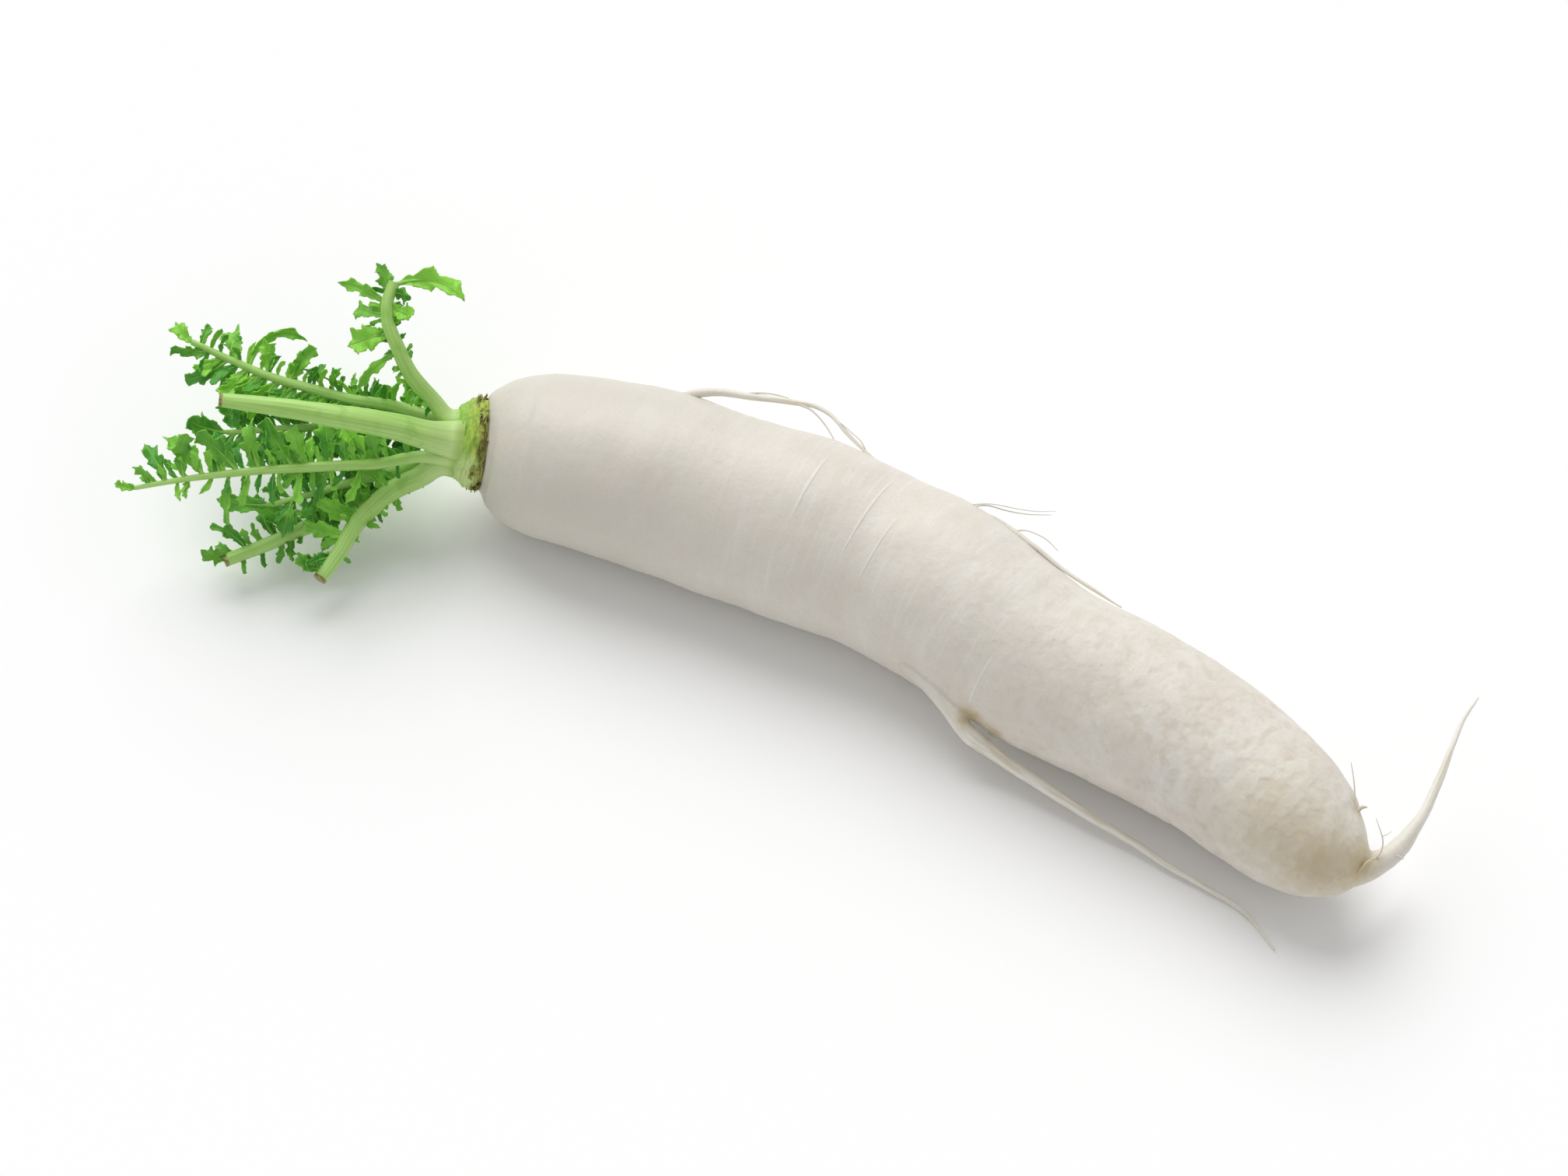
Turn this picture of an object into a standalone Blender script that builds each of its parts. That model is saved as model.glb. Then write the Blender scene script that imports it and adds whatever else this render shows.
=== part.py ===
"""A daikon radish with its short leafy top, lying on its side.

Lengths are metres. The root lies along +X, from the leaves at -X to the thin tail at +X, and +Z is up.
The origin is on the ground, on the flat spot under the middle of the root.
"""

import math

import bmesh
import bpy
import numpy as np
from mathutils import Matrix, Vector
from mathutils.bvhtree import BVHTree

MM = 0.001

# Driving dimensions
ROOT_LENGTH = 342 * MM  # from the crown to the blunt lower end, without the tail
ROOT_WIDTH = 64 * MM  # across the fullest part
CROWN_LENGTH = 10 * MM
CROWN_WIDTH = 26 * MM  # across the outer end, where the leaves start
LEAF_THICKNESS = 0.7 * MM
GAP = 0.3 * MM  # between pieces that touch

HEAD_X = -162 * MM
LEAST_AXIS_HEIGHT = 28 * MM
AXIS_HEIGHT = 0.975  # of the radius: the root is pressed this much flat where it lies
HEAD_LIFT = 2.7 * MM  # how far the root's head turns up
LIFTED_SHARE = 0.08  # of the root's length

# The root's form: share of its length, sideways place in mm, share of its full radius
ROOT_FORM = (
    (0.000, -26.1, 0.50),
    (0.006, -24.9, 0.61),
    (0.015, -23.4, 0.71),
    (0.029, -21.4, 0.80),
    (0.048, -19.1, 0.87),
    (0.085, -15.9, 0.93),
    (0.130, -12.3, 0.96),
    (0.175, -9.0, 0.975),
    (0.255, -6.0, 0.98),
    (0.335, -2.5, 1.00),
    (0.420, -0.8, 0.97),
    (0.500, -2.0, 0.98),
    (0.550, -5.2, 0.96),
    (0.620, -8.5, 0.91),
    (0.720, -9.6, 0.895),
    (0.820, -13.6, 0.82),
    (0.880, -19.0, 0.78),
    (0.925, -23.8, 0.69),
    (0.962, -26.8, 0.52),
    (0.985, -27.2, 0.34),
    (1.000, -26.8, 0.13),
)
ROOT_RINGS = 40
ROOT_SIDES = 24
RING_EVENNESS = 0.4  # 0 crowds the rings towards both ends, 1 spreads them evenly

# Low swellings of the root: size as a share of the radius, waves round it, waves along it, shift
SWELLINGS = ((0.012, 2, 9, 0.0), (0.008, 3, -17, 1.0), (0.006, 0, 41, 0.0))

# Thin roots: x, y, z and radius in mm. Each starts inside the body.
TAIL = (
    (168, -27.0, 27.0, 9.5),
    (176, -26.8, 26.0, 6.6),
    (182, -21.0, 26.5, 4.2),
    (185.5, -12.4, 28.0, 3.2),
    (187, -2.3, 31.0, 2.0),
    (186.5, 12.0, 35.0, 1.5),
    (185, 24.0, 38.0, 1.0),
    (184, 35.0, 40.0, 0.7),
    (184.7, 44.0, 41.0, 0.45),
)
LOWER_SIDE_ROOT = (
    (4, -22.0, 29.5, 8.5),
    (15, -28.8, 27.0, 6.8),
    (27.5, -35.6, 22.4, 4.6),
    (37, -39.3, 18.0, 3.3),
    (46.5, -39.0, 13.0, 2.6),
    (62, -40.0, 10.0, 2.1),
    (85, -41.8, 7.0, 1.6),
    (101, -42.6, 5.0, 1.3),
    (116, -43.8, 3.3, 1.1),
    (131, -44.6, 2.2, 0.9),
    (147, -46.4, 1.5, 0.8),
    (162, -54.0, 1.1, 0.6),
)
UPPER_SIDE_ROOT = (
    (-116, 6.0, 38.0, 3.0),
    (-109, 11.0, 44.0, 2.2),
    (-104, 15.6, 49.0, 1.7),
    (-98, 19.0, 51.3, 1.5),
    (-84, 24.0, 52.3, 1.3),
    (-70, 29.3, 52.3, 1.0),
    (-62, 31.9, 51.9, 0.9),
    (-57, 31.8, 51.4, 0.8),
    (-47.6, 28.0, 50.5, 0.7),
    (-39.3, 25.2, 49.8, 0.6),
    (-31.4, 22.7, 49.4, 0.5),
)
LYING_SIDE_ROOT = (
    (3, 20.0, 42.0, 2.2),
    (9, 22.6, 47.0, 1.6),
    (20, 22.2, 47.6, 1.2),
    (29, 20.6, 47.4, 1.1),
    (41, 18.8, 44.8, 1.0),
    (51, 17.2, 44.2, 0.9),
    (65, 16.4, 42.0, 0.5),
)
# Name, route, rings and sides
SIDE_ROOTS = (
    ("tail", TAIL, 16, 10),
    ("lower side root", LOWER_SIDE_ROOT, 20, 8),
    ("upper side root", UPPER_SIDE_ROOT, 14, 6),
    ("lying side root", LYING_SIDE_ROOT, 9, 6),
)

# The crown points to the leaves. Leaves stand round its end, at an angle from the top towards the front.
CROWN_AIM = Vector((-0.86, -0.49, 0.19)).normalized()
LEAF_RING_RADIUS = 8.6 * MM
LEAF_FOOT = 3 * MM  # how far each stalk runs square to the crown's end
VIEWED_FROM = Vector((0.29, -0.50, 0.82)).normalized()  # the side that the leaflets face

# Share of the crown's length, and share of the way from the root's width to the crown's own
CROWN_PROFILE = ((0.03, 0.0), (0.16, -0.12), (0.40, 0.0), (0.72, 0.5), (1.0, 1.0))

# Leaflets are rows of: share of the stalk, side, angle from the stalk, length mm, width mm, sideways bend.
# The side is +1 to the right of the stalk as it grows, seen from VIEWED_FROM, and -1 to the left.
# Filling is rows of: first and last share, how many, side, angle, length, width and bend, varied by chance.
WIDTH_SHARES = (0, 0.4, 1)  # of the stalk, where each leaf's widths in mm are given
LEAVES = (
    {
        "name": "leaf_arched",
        "place": 333,
        "widths": (6.2, 5.6, 4.0),
        "route": (
            (-180, -28, 46), (-188, -29, 57), (-194, -27, 66), (-200, -23, 72),
            (-203, -18, 76), (-204, -12, 79),
        ),
        "leaflets": (
            (0.42, -1, 125, 14, 4.0, 0.9),
            (0.58, -1, 95, 21, 5.5, 0.7),
            (0.70, -1, 85, 16, 13.0, 0.2),
            (0.80, -1, 70, 14, 9.0, 0.3),
            (0.86, -1, 62, 19, 7.0, 0.6),
            (0.78, 1, 95, 10, 7.0, -0.4),
            (0.86, 1, 110, 11, 9.0, -0.4),
            (0.92, -1, 25, 12, 9.0, 0.3),
            (0.94, 1, 85, 9, 7.0, 0.4),
            (0.98, 1, 50, 27, 11.5, 1.3),
        ),
        "filling": ((0.22, 0.6, 4, -1, 75, 4.5, 2.4, 0.4),),
    },
    {
        "name": "leaf_upper",
        "place": 289,
        "widths": (4.8, 3.8, 2.2),
        "route": (
            (-185, -28, 35), (-197, -32, 37), (-209, -37, 38), (-222, -41, 40), (-236, -45, 42),
            (-251, -47, 44), (-266, -49, 47),
        ),
        "leaflets": (
            (0.62, 1, 105, 16, 9.0, 0.4),
            (0.70, 1, 80, 13, 8.5, -0.6),
            (0.77, 1, 80, 27, 5.5, 2.1),
            (0.82, 1, 62, 15, 10.0, -0.7),
            (0.85, -1, 60, 18, 8.0, -0.5),
            (0.92, -1, 30, 15, 7.0, -0.4),
            (0.96, 1, 75, 9, 5.0, 0.3),
            (0.99, 1, 10, 11, 7.5, 0.5),
        ),
        "filling": ((0.12, 0.62, 13, 1, 68, 10, 2.8, 1.5), (0.22, 0.80, 10, -1, 65, 17, 10.0, -0.6)),
    },
    {
        "name": "leaf_cut_thick",
        "place": 34,
        "widths": (10.0, 8.8, 4.8),
        "route": (
            (-176, -42, 46), (-185, -49, 53), (-195, -56, 58), (-207, -63, 62),
            (-220, -70, 65), (-234, -77, 67),
        ),
        "leaflets": (),
        "filling": (),
    },
    {
        "name": "leaf_long",
        "place": 88,
        "widths": (4.2, 3.6, 1.6),
        "route": (
            (-177, -43, 33), (-186, -54, 36), (-200, -67, 40), (-215, -80, 43), (-226, -90, 45),
            (-237, -100, 46), (-249, -110, 45),
        ),
        "leaflets": (
            (0.83, -1, 60, 7, 4.0, 0.3),
            (0.95, 1, 60, 9, 5.0, 0.4),
            (0.99, 1, 8, 8, 4.5, 0.5),
        ),
        "filling": ((0.20, 0.93, 13, 1, 70, 17, 9.0, 0.7), (0.26, 0.76, 6, -1, 62, 15, 5.0, 0.9)),
    },
    {
        "name": "leaf_front",
        "place": 136,
        "widths": (8.4, 6.8, 4.8),
        "route": (
            (-177, -46, 24), (-181, -53, 24), (-184, -62, 23), (-186, -71, 21),
            (-186, -82, 18), (-187, -94, 15),
        ),
        "leaflets": (
            (0.38, 1, 85, 22, 9.0, 0.5),
            (0.55, 1, 50, 18, 9.0, 0.7),
            (0.60, -1, 100, 9, 3.5, 0.4),
            (0.70, 1, 62, 17, 9.0, 0.4),
            (0.84, 1, 50, 15, 8.0, -0.5),
            (0.95, 1, 80, 13, 8.0, 0.5),
        ),
        "filling": ((0.25, 0.75, 3, -1, 70, 5, 2.6, 0.5),),
    },
    {
        "name": "leaf_low",
        "place": 186,
        "widths": (5.0, 5.6, 4.4),
        "route": (
            (-177, -37, 17), (-186, -49, 15), (-194, -62, 14), (-203, -75, 13),
            (-213, -89, 11), (-222, -101, 10),
        ),
        "leaflets": (
            (0.45, 1, 60, 15, 8.5, 0.3),
            (0.55, -1, 60, 13, 7.0, -0.4),
            (0.64, 1, 35, 24, 11.0, 0.4),
            (0.72, -1, 55, 12, 6.0, 0.5),
            (0.78, 1, 70, 20, 6.0, 0.9),
            (0.90, 1, 75, 17, 6.0, -0.8),
            (0.96, 1, 20, 13, 8.0, 0.5),
        ),
        "filling": ((0.25, 0.6, 4, 1, 70, 11, 6.0, 0.5),),
    },
    {
        "name": "leaf_middle",
        "place": 221,
        "widths": (4.2, 4.0, 1.8),
        "route": ((-179, -37, 24), (-188, -49, 23), (-197, -59, 23), (-206, -70, 23), (-215, -80, 23)),
        "leaflets": (
            (0.80, 1, 60, 19, 8.0, 0.9),
            (0.99, 1, 10, 20, 10.0, 0.4),
        ),
        "filling": ((0.28, 0.75, 5, 1, 62, 15, 9.0, 0.5), (0.30, 0.92, 6, -1, 58, 14, 7.5, 0.5)),
    },
    {
        "name": "leaf_inner",
        "place": 254,
        "widths": (4.2, 3.8, 1.8),
        "route": (
            (-184, -29, 27), (-197, -35, 27), (-209, -41, 27), (-220, -49, 28),
            (-231, -58, 30), (-241, -67, 32),
        ),
        "leaflets": (
            (0.99, 1, 10, 20, 11.0, 0.5),
            (0.96, -1, 42, 18, 10.0, 0.6),
        ),
        "filling": ((0.16, 0.95, 9, 1, 64, 18, 10.5, 0.6), (0.20, 0.88, 8, -1, 62, 18, 10.0, 0.6)),
    },
)
CROWN_SIDES = 16
STALK_RINGS = 10
STALK_SIDES = 8
BROAD_LEAFLET = 3.7 * MM  # slimmer ones are plain claws
BIG_GRID = (7, 2)  # rows along a leaflet and columns across it
SMALL_GRID = (4, 1)
MOST_CROSSINGS = 4  # of a leaflet with others of its own leaf

# What chance may give each leaflet of the filling: its place in its own stretch of the stalk, its size and
# bend as shares, and degrees more or less
LEAF_SEED = 10
PLACE_SPREAD = (0.3, 0.7)
SIZE_SPREAD = (0.8, 1.2)
BEND_SPREAD = (0.3, 1.3)
ANGLE_SPREAD = (-14, 14)
CURL = (-1.1, 1.3)
TWIST = (-1.2, 1.2)

# A leaflet's half width at a lobe and at a notch, as shares of its full one. It swells from a slim foot and
# closes at a blunt tip by these powers, and each lobe leans towards the tip.
LOBE = (0.72, 1.0)
NOTCH = (0.35, 0.68)
FOOT_POWER = 0.6
TIP_POWER = 4
FULLEST = 0.65
LOBE_LEAN = 0.6
LEAST_HALF_WIDTH = 0.5 * MM

# A leaflet is a low trough whose edges wave, as shares of its half width
BEND_POWER = 1.3
TROUGH = 0.3
RUFFLE = 0.35
RUFFLE_TURNS = 11.0

# Turns about the stalk that a leaflet tries, in degrees, until it hangs clear of what is already there
TURNS = (0, 20, -20, 40, -40, 60, -60, 80, -80, 100, -100)
GROUND_CLEARANCE = 1.0 * MM


def clear_scene():
    for obj in list(bpy.data.objects):
        bpy.data.objects.remove(obj, do_unlink=True)


def finish_material(name, colour, roughness):
    material = bpy.data.materials.new(name)
    material.use_nodes = True
    shader = material.node_tree.nodes["Principled BSDF"]
    shader.inputs["Base Color"].default_value = (*colour, 1.0)
    shader.inputs["Roughness"].default_value = roughness
    shader.inputs["Metallic"].default_value = 0.0
    return material


def mesh_object(name, bm, material=None):
    bmesh.ops.recalc_face_normals(bm, faces=bm.faces)
    mesh = bpy.data.meshes.new(name)
    bm.to_mesh(mesh)
    bm.free()
    mesh.shade_smooth()
    mesh.set_sharp_from_angle(angle=math.radians(50))
    if material:
        mesh.materials.append(material)
    obj = bpy.data.objects.new(name, mesh)
    bpy.context.scene.collection.objects.link(obj)
    return obj


def drop_scraps(mesh):
    """Keeps the mesh's largest connected body and drops what stayed loose."""
    bm = bmesh.new()
    bm.from_mesh(mesh)
    unseen = set(bm.verts)
    bodies = []
    while unseen:
        body = []
        edge = [unseen.pop()]
        while edge:
            vert = edge.pop()
            body.append(vert)
            near = {link.other_vert(vert) for link in vert.link_edges} & unseen
            unseen -= near
            edge += near
        bodies.append(body)
    bodies.sort(key=len)
    for scrap in bodies[:-1]:
        bmesh.ops.delete(bm, geom=scrap, context="VERTS")
    bm.to_mesh(mesh)
    bm.free()


def fuse(target, others):
    """Joins the other objects into the target with one Boolean union, and removes them."""
    group = bpy.data.collections.new(target.name + " parts")
    bpy.context.scene.collection.children.link(group)
    for other in others:
        bpy.context.scene.collection.objects.unlink(other)
        group.objects.link(other)
    union = target.modifiers.new("Union", "BOOLEAN")
    union.operation = "UNION"
    union.operand_type = "COLLECTION"
    union.collection = group
    union.solver = "MANIFOLD"
    graph = bpy.context.evaluated_depsgraph_get()
    fused = bpy.data.meshes.new_from_object(target.evaluated_get(graph))
    target.modifiers.clear()
    target.data = fused
    drop_scraps(fused)
    for other in others:
        bpy.data.objects.remove(other, do_unlink=True)
    bpy.data.collections.remove(group)


def through(points, shares):
    """Rows on a smooth curve through the given rows, at these shares of its length."""
    points = np.asarray(points, float)
    steps = np.linalg.norm(np.diff(points[:, :3], axis=0), axis=1)
    reach = np.concatenate([[0.0], np.cumsum(steps)]) / steps.sum()
    slope = np.gradient(points, reach, axis=0)
    shares = np.atleast_1d(shares)
    i = np.clip(np.searchsorted(reach, shares, side="right") - 1, 0, len(points) - 2)
    span = (reach[i + 1] - reach[i])[:, None]
    t = (shares - reach[i])[:, None] / span
    start = (2 * t**3 - 3 * t**2 + 1) * points[i] + (t**3 - 2 * t**2 + t) * span * slope[i]
    end = (3 * t**2 - 2 * t**3) * points[i + 1] + (t**3 - t**2) * span * slope[i + 1]
    return start + end


def frames(centres, first_side):
    """The direction of a curve at each point, and one across it that doesn't twist."""
    along = np.gradient(centres, axis=0)
    along /= np.linalg.norm(along, axis=1)[:, None]
    across = []
    side = np.asarray(first_side, float)
    for direction in along:
        side = side - direction * side.dot(direction)
        side /= np.linalg.norm(side)
        across.append(side)
    return along, np.array(across)


def tube(rows, sides, first_side, lump=None):
    """A closed tube through rows of x, y, z and radius. lump(share, turn) scales the radius."""
    centres, radii = rows[:, :3], rows[:, 3]
    along, across = frames(centres, first_side)
    rings = len(rows) - 1
    bm = bmesh.new()
    bmesh.ops.create_grid(bm, x_segments=rings, y_segments=sides, size=0.5)
    for vert in bm.verts:
        share = vert.co.x + 0.5
        ring = round(share * rings)
        turn = math.tau * (vert.co.y + 0.5 + 0.5 / sides)
        over = np.cross(across[ring], along[ring])
        radius = radii[ring] * (lump(share, turn) if lump else 1.0)
        vert.co = centres[ring] + radius * (math.cos(turn) * across[ring] + math.sin(turn) * over)
    bmesh.ops.remove_doubles(bm, verts=bm.verts, dist=0.01 * MM)
    bmesh.ops.holes_fill(bm, edges=bm.edges)
    return bm


def root_line(shares):
    """The root's centre line and radius at these shares of its length."""
    rows = []
    for share, sideways, fullness in ROOT_FORM:
        radius = fullness * ROOT_WIDTH / 2
        height = max(AXIS_HEIGHT * radius, LEAST_AXIS_HEIGHT)
        rows.append((HEAD_X + share * ROOT_LENGTH, sideways * MM, height, radius))
    line = through(rows, shares)
    line[:, 2] += HEAD_LIFT * np.maximum(1 - np.atleast_1d(shares) / LIFTED_SHARE, 0) ** 2
    return line


def root_lump(share, turn):
    """A root isn't turned on a lathe: low swellings run along and round it."""
    return 1 + sum(size * math.sin(round_it * turn + along * share + shift)
                   for size, round_it, along, shift in SWELLINGS)


def crown_point(distance, outwards=0.0, angle=0.0):
    """A point this far along the crown from the root, and this far from its axis towards the angle."""
    head = Vector(root_line(0.0)[0][:3])
    upwards = (Vector((0, 0, 1)) - CROWN_AIM * CROWN_AIM.z).normalized()
    frontwards = upwards.cross(CROWN_AIM)
    turn = math.radians(angle)
    sideways = upwards * math.cos(turn) + frontwards * math.sin(turn)
    return head + CROWN_AIM * distance + sideways * outwards


def square_off(bm, distance, facing):
    """Presses what passes the plane this far along the crown back to it. facing is the side left clear."""
    level = crown_point(distance)
    for vert in bm.verts:
        beyond = (vert.co - level).dot(CROWN_AIM) * facing
        vert.co -= CROWN_AIM * facing * max(beyond, 0.0)


def make_root(material):
    even = np.linspace(0, 1, ROOT_RINGS + 1)
    closer_at_ends = 0.5 - 0.5 * np.cos(math.pi * even)
    shares = RING_EVENNESS * even + (1 - RING_EVENNESS) * closer_at_ends
    body = tube(root_line(shares), ROOT_SIDES, (0, -1, 0), root_lump)
    for vert in body.verts:
        vert.co.z = max(vert.co.z, 0.0)
    square_off(body, 0.0, 1)
    root = mesh_object("root", body, material)
    thin_roots = []
    for name, route, rings, sides in SIDE_ROOTS:
        rows = through(np.array(route) * MM, np.linspace(0, 1, rings + 1))
        thin_roots.append(mesh_object(name, tube(rows, sides, (0, 0, 1))))
    fuse(root, thin_roots)


def make_crown(material):
    base_radius = root_line(0.0)[0][3]
    end_radius = CROWN_WIDTH / 2
    rows = []
    for share, blend in CROWN_PROFILE:
        radius = base_radius + (end_radius - base_radius) * blend
        rows.append((*crown_point(share * CROWN_LENGTH), radius))
    return mesh_object("crown", tube(np.array(rows), CROWN_SIDES, (0, -1, 0)), material)


def ragged(rows, chance):
    """How full a leaflet's left and right halves are at each row of its length, and how far the edge leans
    towards the tip there. Lobes and notches take turns, from a slim foot to a blunt tip."""
    first = chance.integers(0, 2)
    edge = np.zeros((rows + 1, 3))
    for row in range(1, rows):
        share = row / rows
        lobe = (row + first) % 2
        most = share**FOOT_POWER * (1 - share**TIP_POWER) / FULLEST
        edge[row, :2] = chance.uniform(*(LOBE if lobe else NOTCH), 2) * most
        edge[row, 2] = LOBE_LEAN / rows * lobe
    return edge


def blade(place, length, width, bend, curl, twist, edge, columns, thickness):
    """A thin ragged leaflet: bend turns it sideways, curl turns it out of its plane, twist winds it."""
    rows = len(edge) - 1
    bm = bmesh.new()
    bmesh.ops.create_grid(bm, x_segments=rows, y_segments=columns, size=0.5)
    shares = np.linspace(0, 1, rows + 1)
    sideways = bend * shares**BEND_POWER
    outwards = curl * shares
    flat = np.cos(outwards)
    steps = np.column_stack([np.cos(sideways) * flat, np.sin(sideways) * flat, np.sin(outwards)])
    middle = np.concatenate([[(0, 0, 0)], np.cumsum((steps[1:] + steps[:-1]) / 2, axis=0)]) * length / rows
    along, across = frames(middle, (0, 1, 0))
    for vert in bm.verts:
        share = vert.co.x + 0.5
        row = round(share * rows)
        out = vert.co.y * 2
        half = max(width / 2 * edge[row, int(out > 0)], LEAST_HALF_WIDTH * (1 - share))
        over = np.cross(along[row], across[row])
        turn = twist * share
        lean = math.cos(turn) * across[row] + math.sin(turn) * over
        fold = math.cos(turn) * over - math.sin(turn) * across[row]
        ruffle = TROUGH + RUFFLE * math.sin(RUFFLE_TURNS * share + 2 * out + length / MM)
        reach = middle[row] + abs(out) * edge[row, 2] * length * along[row]
        vert.co = reach + half * (out * lean + ruffle * abs(out) * fold)
    bmesh.ops.remove_doubles(bm, verts=bm.verts, dist=0.02 * MM)
    bmesh.ops.triangulate(bm, faces=bm.faces)
    bmesh.ops.solidify(bm, geom=bm.faces[:], thickness=thickness)
    bmesh.ops.transform(bm, matrix=place, verts=bm.verts)
    return bm


def leaflet_place(point, direction, facing):
    """A leaflet's own X runs along it, and its Z is the side that it shows."""
    normal = (facing - direction * facing.dot(direction)).normalized()
    place = Matrix.Identity(3)
    place.col[0] = direction
    place.col[1] = normal.cross(direction)
    place.col[2] = normal
    return Matrix.Translation(point) @ place.to_4x4()


def tree_of(bm):
    bmesh.ops.triangulate(bm, faces=bm.faces)
    tree = BVHTree.FromBMesh(bm)
    bm.free()
    return tree


def stalk_rows(leaf):
    """The stalk's rows of x, y, z and radius. It leaves the crown square to the crown's end."""
    angle = leaf["place"]
    start = [crown_point(CROWN_LENGTH + step, LEAF_RING_RADIUS, angle) for step in (GAP, LEAF_FOOT)]
    points = np.array([*start, *(Vector(point) * MM for point in leaf["route"])])
    shares = np.linspace(0, 1, STALK_RINGS + 1)
    widths = np.interp(shares, WIDTH_SHARES, leaf["widths"]) * MM
    return np.column_stack([through(points, shares), widths / 2])


def leaflet_rows(leaf, chance):
    """The leaf's own leaflets, then the filling, spread along the stalk with some chance in each."""
    rows = list(leaf["leaflets"])
    for first, last, count, side, angle, length, width, bend in leaf["filling"]:
        for i in range(count):
            share = first + (last - first) * (i + chance.uniform(*PLACE_SPREAD)) / count
            size = chance.uniform(*SIZE_SPREAD)
            curve = bend * chance.uniform(*BEND_SPREAD) * chance.choice((1, 1, -1))
            turned = angle + chance.uniform(*ANGLE_SPREAD)
            rows.append((share, side, turned, length * size, width * size, curve))
    return rows


def stalk_tube(rows, spare=0.0):
    """A stalk's tube, this much fatter all round, with its foot flat against the crown's end."""
    bm = tube(rows + (0, 0, 0, spare), STALK_SIDES, VIEWED_FROM)
    square_off(bm, CROWN_LENGTH + GAP, -1)
    return bm


def grow(leaf, rows, chance, taken):
    """Sets each leaflet on the stalk, turned until it hangs clear of the other leaves. Gives what each
    blade is made from, and a tree of each with the gap round it."""
    grown = []
    own = []
    for share, side, angle, length, width, bend in leaflet_rows(leaf, chance):
        curl = chance.uniform(*CURL)
        twist = chance.uniform(*TWIST)
        grid_rows, columns = BIG_GRID if width * MM > BROAD_LEAFLET else SMALL_GRID
        edge = ragged(grid_rows, chance)
        row = round(share * STALK_RINGS)
        ring_shares = np.linspace(0, 1, STALK_RINGS + 1)
        point = Vector([np.interp(share, ring_shares, rows[:, axis]) for axis in range(3)])
        along = Vector(rows[min(row + 1, STALK_RINGS), :3] - rows[max(row - 1, 0), :3]).normalized()
        lean = math.radians(angle)
        for turn in TURNS:
            facing = Matrix.Rotation(math.radians(turn), 3, along) @ VIEWED_FROM
            across = along.cross(facing).normalized() * side
            direction = along * math.cos(lean) + across * math.sin(lean)
            place = leaflet_place(point, direction, facing)
            form = (place, length * MM, width * MM, -side * bend, curl, twist, edge, columns)
            trial = blade(*form, LEAF_THICKNESS + 2 * GAP)
            lowest = min(vert.co.z for vert in trial.verts)
            tree = tree_of(trial)
            crossing = any(tree.overlap(other) for other in taken)
            crowded = sum(bool(tree.overlap(other)) for other in own)
            if lowest > GROUND_CLEARANCE and not crossing and crowded < MOST_CROSSINGS:
                grown.append(form)
                own.append(tree)
                break
    return grown, own


def make_leaves(crown, material):
    chance = np.random.default_rng(LEAF_SEED)
    stalks = {leaf["name"]: stalk_rows(leaf) for leaf in LEAVES}
    root = bpy.data.objects["root"]
    graph = bpy.context.evaluated_depsgraph_get()
    solid = [BVHTree.FromObject(obj, graph) for obj in (root, crown)]
    trees = {name: [tree_of(stalk_tube(rows, GAP))] for name, rows in stalks.items()}
    for leaf in LEAVES:
        name = leaf["name"]
        taken = solid + [tree for other, found in trees.items() if other != name for tree in found]
        forms, own = grow(leaf, stalks[name], chance, taken)
        trees[name] += own
        stalk = mesh_object(name, stalk_tube(stalks[name]), material)
        blades = [mesh_object(name + " blade", blade(*form, LEAF_THICKNESS)) for form in forms]
        if blades:
            fuse(stalk, blades)


def main():
    clear_scene()
    make_root(finish_material("root skin", (0.82, 0.80, 0.75), 0.5))
    crown = make_crown(finish_material("crown", (0.38, 0.45, 0.10), 0.6))
    make_leaves(crown, finish_material("leaf", (0.16, 0.42, 0.06), 0.5))


main()
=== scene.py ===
"""The looks of a daikon radish with its leafy top, lying on a pale floor. Lengths are in metres."""

import math

import bmesh
import bpy
import numpy as np
from mathutils import Matrix, Vector, noise
from mathutils.bvhtree import BVHTree


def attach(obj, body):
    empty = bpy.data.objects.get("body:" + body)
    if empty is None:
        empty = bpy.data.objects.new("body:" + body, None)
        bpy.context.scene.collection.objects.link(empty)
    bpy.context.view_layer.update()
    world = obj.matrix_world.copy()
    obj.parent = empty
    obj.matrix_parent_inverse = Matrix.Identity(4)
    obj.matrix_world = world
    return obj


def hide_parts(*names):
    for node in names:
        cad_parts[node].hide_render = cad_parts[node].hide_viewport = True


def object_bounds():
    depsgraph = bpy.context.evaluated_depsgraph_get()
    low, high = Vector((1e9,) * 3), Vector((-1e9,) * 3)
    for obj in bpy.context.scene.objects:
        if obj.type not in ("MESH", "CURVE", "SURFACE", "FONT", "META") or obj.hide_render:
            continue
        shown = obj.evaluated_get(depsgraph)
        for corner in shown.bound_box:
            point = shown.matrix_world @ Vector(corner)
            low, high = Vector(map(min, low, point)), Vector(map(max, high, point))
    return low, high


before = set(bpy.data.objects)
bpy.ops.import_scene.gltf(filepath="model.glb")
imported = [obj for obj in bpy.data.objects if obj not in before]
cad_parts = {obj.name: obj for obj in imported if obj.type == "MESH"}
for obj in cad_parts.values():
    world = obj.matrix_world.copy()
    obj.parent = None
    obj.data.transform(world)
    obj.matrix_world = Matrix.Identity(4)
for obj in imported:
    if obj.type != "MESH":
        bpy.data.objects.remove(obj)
cad_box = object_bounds()
MM = 0.001

# The camera
# It looks down on the radish from the front and a little from the tail's side. The lens is long,
# so that both ends of the root have nearly the same scale.
AZIMUTH = math.radians(30)
ELEVATION = math.radians(55)
AIM = Vector((-0.052, -0.008, 0.0))
CAMERA_DISTANCE = 1.8144
FOCAL_LENGTH = 120
SENSOR_WIDTH = 36

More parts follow.
